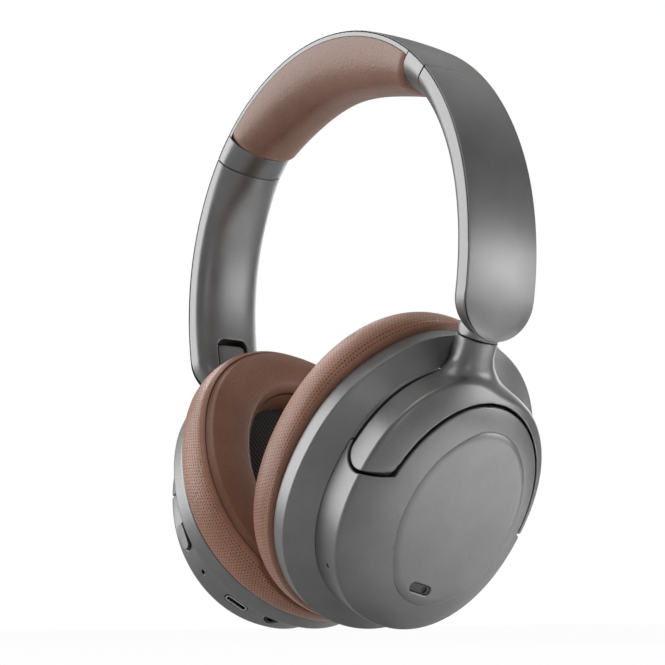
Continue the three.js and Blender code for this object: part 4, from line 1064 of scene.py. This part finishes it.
def cup_plate(side, suffix):
    """Raised plate of the face, its edge rolled down, with the microphone's slot sunk in it."""
    def field(x, y, z):
        edge, _ = oval_field(y, z, PLATE)
        roll = 1 - np.clip(-edge / PLATE_ROLL, 0, 1)
        top = PLATE_FACE - PLATE_ROLL_DEPTH * roll ** 2.2
        body = soft_max(soft_max(edge, (x - top) * 0.9, 0.25), PLATE_SEAT + 0.1 - x, 0.2)
        slot = mic_oval(y, z)[0] - lip_flare(x - PLATE_FACE, 0.35)
        return soft_max(body, -np.maximum(slot, PLATE_FACE - 1.0 - x), 0.15)

    middle, reach = np.array([26.9, PLATE["y"], PLATE["z"]]), np.array([1.3, 22.5, 29.8])
    plate = surface_net(field, middle - reach, middle + reach, 0.3)
    return cup_object(f"plate_{suffix}", side, *plate, PAINT)


def dense_cup_pieces():
    fork_mesh = surface_net(fork_field, [7, -36, -1.5], [26, 35, 51.5], 0.36)
    plates = [cup_plate(side, suffix) for side, suffix in SIDES]
    for (side, suffix), plate in zip(SIDES, plates):
        cup = f"{suffix}_cup"
        shell_mesh = surface_net(shell_field(CUTS[suffix]), [11, -36, -43.5], [28.6, 35, 41.5], 0.36)
        shell = cup_object(f"shell_{suffix}", side, *shell_mesh, PAINT)
        fork = cup_object(f"fork_arc_{suffix}", side, *fork_mesh, PAINT)
        housing = cup_housing(side, suffix)
        stand_in(mic_insert(side, suffix), f"mic_insert_{suffix}", cup)
        stand_in(shell, f"cup_shell_{suffix}", cup)
        stand_in(fork, f"fork_{suffix}", f"{suffix}_fork")
        stand_in(housing, f"cup_housing_{suffix}", cup)
        stand_in(plate, f"cup_plate_{suffix}", cup)


# ---- soft pieces in the cups


FRONT, SIDE, SEAM, STITCH = range(4)  # kinds of ring; seam and stitch are drawn dark
SHEET = {FRONT: FRONT_V, SEAM: LINE_V, STITCH: LINE_V}
SEAM_PRESS = 0.75
SIDE_RINGS = 24  # rings up the cushion's side, before it turns in to the front


def cushion_profile():
    """Rings of the cushion: share of the way from rim to opening, x, bulge and kind."""
    def front(*places):
        return [(share, CUSHION_FRONT + up, 0.0, FRONT) for share, up in places]

    rings = [(0.0, CUSHION_BACK, -0.9, FRONT), (0.0, CUSHION_BACK - 0.35, -0.25, FRONT)]
    for t in evenly(0.05, 0.95, 22):
        bulge = CUSHION_BULGE * math.sin(math.pi * t ** 0.9) ** 0.5
        rings.append((0.0, CUSHION_BACK - CUSHION_THICK * t * 0.97, bulge, SIDE))
    rings += [(0.004, CUSHION_FRONT + 0.55, 0.15, SIDE), (0.012, CUSHION_FRONT + 0.22, 0.05, FRONT),
              *front((0.020, 0.06), (0.025, 0.1)), (0.037, CUSHION_FRONT + 0.1, 0.0, SEAM),
              *front((0.049, 0.0), (0.060, -0.12), (0.085, -0.32))]
    rings += front(*(
        (share, -CUSHION_CROWN * math.sin(math.pi * min(1.0, share + 0.04)) ** 0.6)
        for share in evenly(0.11, 0.86, 26)))
    rings += [*front((0.90, -0.25), (0.935, 0.55), (0.958, 1.4), (0.966, 1.9)),
              (0.974, CUSHION_FRONT + 2.5, 0.25, STITCH),
              *front((0.982, 3.1), (0.992, 3.9), (1.0, 6))]
    return rings + [(share, CUSHION_BACK - deep, 0.0, FRONT)
                    for share, deep in ((1.0, 3), (0.99, 0.8), (0.965, 0))]


def lengths_along(points):
    return np.concatenate([[0], np.cumsum(np.hypot(*np.diff(points, axis=0).T))])


def ear_cushion(side, suffix):
    """Cushion from rim to opening, pressed flat where it would meet the other one."""
    profile = cushion_profile()
    around = 320
    rings = []
    opening = (*OPENING, 2.0, 0.0, 0.0)
    for share, x, extra, _ in profile:
        width, height, *rest = (lerp(a, b, share) for a, b in zip(RIM.values(), opening))
        rings.append((x, width + extra, height + extra, *rest))
    rows = ring_rows(rings, around)
    shares, xs, extras, kinds = (np.array(column) for column in zip(*profile))
    follows = (1 - shares) * (1 - smoothstep(CUSHION_BACK - xs, -0.8, 0.26 * CUSHION_THICK))
    rows += follows[:, None, None] * rim_shift(ring_turns(around))
    points = in_cup(side, rows)
    points[..., 0] = side * np.maximum(side * points[..., 0], MEETING_GAP)
    points[kinds == SEAM] += side * SEAM_PRESS * cup_place(side)[0][:, 0]

    middle = rows[SIDE_RINGS // 2, :, 1:]
    round_ = lengths_along(np.vstack([middle, middle[:1]]))
    round_ *= round(round_[-1] / DOT_PITCH) * DOT_PITCH / round_[-1]
    up = lengths_along(np.stack([xs, extras], 1))
    up *= CUSHION_THICK / up[SIDE_RINGS]
    up = np.array([SHEET.get(kind, v) for kind, v in zip(kinds, up)])
    up = np.append(up, up[0])
    i, j = np.indices((len(rings), around)).reshape(2, -1)
    uvs = np.stack([round_[np.array([j, j + 1, j + 1, j])], up[np.array([i, i, i + 1, i + 1])]]).T
    faces = grid_faces(len(rings), around, closed=True).tolist()
    return new_object(f"leather_cushion_{suffix}", points.reshape(-1, 3), faces, LEATHER_DOTS_LIT_SIDE,
                      uvs, outward=True)


def speaker_cloth(side, suffix):
    """Cloth over the driver, slightly crowned."""
    around = 96
    shares = evenly(0, 1, 14)
    width, height = CLOTH_HALF
    rings = [(CLOTH_X - CLOTH_CROWN * (1 - share ** 2), share * width, share * height, 2, 0, 0)
             for share in shares[1:]]
    points = [[CLOTH_X - CLOTH_CROWN, 0, 0], *ring_rows(rings, around).reshape(-1, 3)]
    faces = [(0, 1 + j, 1 + (j + 1) % around) for j in range(around)]
    faces += (1 + grid_faces(len(rings), around)[:, ::-1]).tolist()
    cloth = new_object(f"speaker_cloth_{suffix}", in_cup(side, points), faces, CLOTH)
    cloth.modifiers.new("thickness", "SOLIDIFY").thickness = CLOTH_THICK * MM
    return cloth


pad = stand_in(headband_pad(), "headband_pad", "headband")
for side, suffix in SIDES:
    cushion = stand_in(ear_cushion(side, suffix), f"ear_cushion_{suffix}", f"{suffix}_cup")
    stand_in(speaker_cloth(side, suffix), f"mesh_cloth_{suffix}", f"{suffix}_cup")
dense_cup_pieces()
dense_band_pieces()

# ---- camera, floor and light


def place_camera():
    """The photograph's camera, which was fitted in units of 1.15 mm."""
    unit = 1.15
    azimuth, elevation, roll = 0.935, -0.186, -0.007
    distance, focal, photo_width, sensor = 443.1 * unit, 1504.3, 665, 36.0
    target = Vector((-5.77, 0.0, -86.42)) * unit + Vector((0, 0, BAND_TOP))
    back = Vector((math.sin(azimuth) * math.cos(elevation),
                   -math.cos(azimuth) * math.cos(elevation), math.sin(elevation)))
    right = Vector((math.cos(azimuth), math.sin(azimuth), 0))
    up = back.cross(right)
    right, up = (math.cos(roll) * right + math.sin(roll) * up,
                 math.cos(roll) * up - math.sin(roll) * right)
    data = bpy.data.cameras.new("camera")
    data.sensor_width = sensor
    data.lens = focal * sensor / photo_width
    data.clip_start, data.clip_end = 0.01, 20
    camera = bpy.data.objects.new("camera", data)
    basis = Matrix((right, up, back)).transposed().to_4x4()
    camera.matrix_world = Matrix.Translation((target + back * distance) * MM) @ basis
    scene.collection.objects.link(camera)
    scene.camera = camera


def white_share(n, to_camera, to_gloss):
    """How much plain white a camera ray sees, and how much a reflection or refraction sees."""
    path = n.add("ShaderNodeLightPath").outputs
    bounced = n.math("MAXIMUM", path["Is Glossy Ray"], path["Is Transmission Ray"])
    return n.math("MAXIMUM", n.math("MULTIPLY", path["Is Camera Ray"], to_camera),
                  n.math("MULTIPLY", bounced, to_gloss))


def mixed(n, factor, first, second):
    return n.add("ShaderNodeMixShader", {0: factor, 1: first, 2: second}).outputs[0]


def build_world():
    n = Nodes(bpy.data.worlds.new("studio"))
    scene.world = n.owner
    n.fill("Background", Color=(0.60, 0.59, 0.58, 1), Strength=0.5)
    ambient = n.tree.nodes["Background"].outputs[0]
    white = n.add("ShaderNodeBackground", {"Color": grey(1)}).outputs[0]
    n.fill("World Output", Surface=mixed(n, white_share(n, 1.0, 0.08), ambient, white))


def build_floor(height, size=3.0):
    """A pale floor, seen from above and clear from below."""
    mesh = bpy.data.meshes.new("floor")
    corners = [(x * size, y * size, height) for x, y in ((-1, -1), (1, -1), (1, 1), (-1, 1))]
    mesh.from_pydata(corners, [], [(0, 1, 2, 3)])
    floor = bpy.data.objects.new("floor", mesh)
    scene.collection.objects.link(floor)
    n = Nodes(bpy.data.materials.new("floor"))
    n.shade(Base_Color=grey(0.5), Roughness=0.9)
    paint = n.tree.nodes["Principled BSDF"].outputs[0]
    glow = n.add("ShaderNodeEmission").outputs[0]
    clear = n.add("ShaderNodeBsdfTransparent").outputs[0]
    below = n.add("ShaderNodeNewGeometry").outputs["Backfacing"]
    above = mixed(n, white_share(n, 0.97, 0.12), paint, glow)
    n.fill("Material Output", Surface=mixed(n, below, above, clear))
    mesh.materials.append(n.owner)
    floor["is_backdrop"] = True


def area_light(name, place, size, power, target=(0, 0, -0.07), spread=180):
    data = bpy.data.lights.new(name, "AREA")
    data.shape = "RECTANGLE"
    data.size, data.size_y = size
    data.energy = power
    data.spread = math.radians(spread)
    lamp = bpy.data.objects.new(name, data)
    lamp.location = place
    lamp.rotation_euler = (Vector(target) - Vector(place)).to_track_quat("-Z", "Y").to_euler()
    scene.collection.objects.link(lamp)


FLOOR_DROP = 27.0  # room below for the cups when both arms are drawn out
place_camera()
build_world()
build_floor(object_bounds()[0].z - FLOOR_DROP * MM)
# Each light: name, place, size in metres and power in watts.
for light in (
        ("key", (-0.95, -0.85, 0.42), (1.15, 1.15), 15.0),
        ("left_top", (-0.80, 0.10, 0.72), (0.6, 0.5), 5.5),
        ("front_right", (0.95, -0.40, -0.02), (0.16, 0.26), 0.35),
        ("back_right", (0.85, 0.70, -0.02), (0.5, 0.3), 2.3),
        ("back", (-0.38, 1.0, 0.16), (0.8, 0.5), 3.0),
        ("top", (-0.10, 0.52, 0.84), (0.6, 0.5), 0.4),
        ("front_top", (0.15, -0.45, 0.88), (0.5, 0.5), 1.5)):
    area_light(*light)
area_light("floor_right", (0.22, 0.20, 0.30), (0.15, 0.15), 0.8, (0.19, 0.14, -0.178), 45)
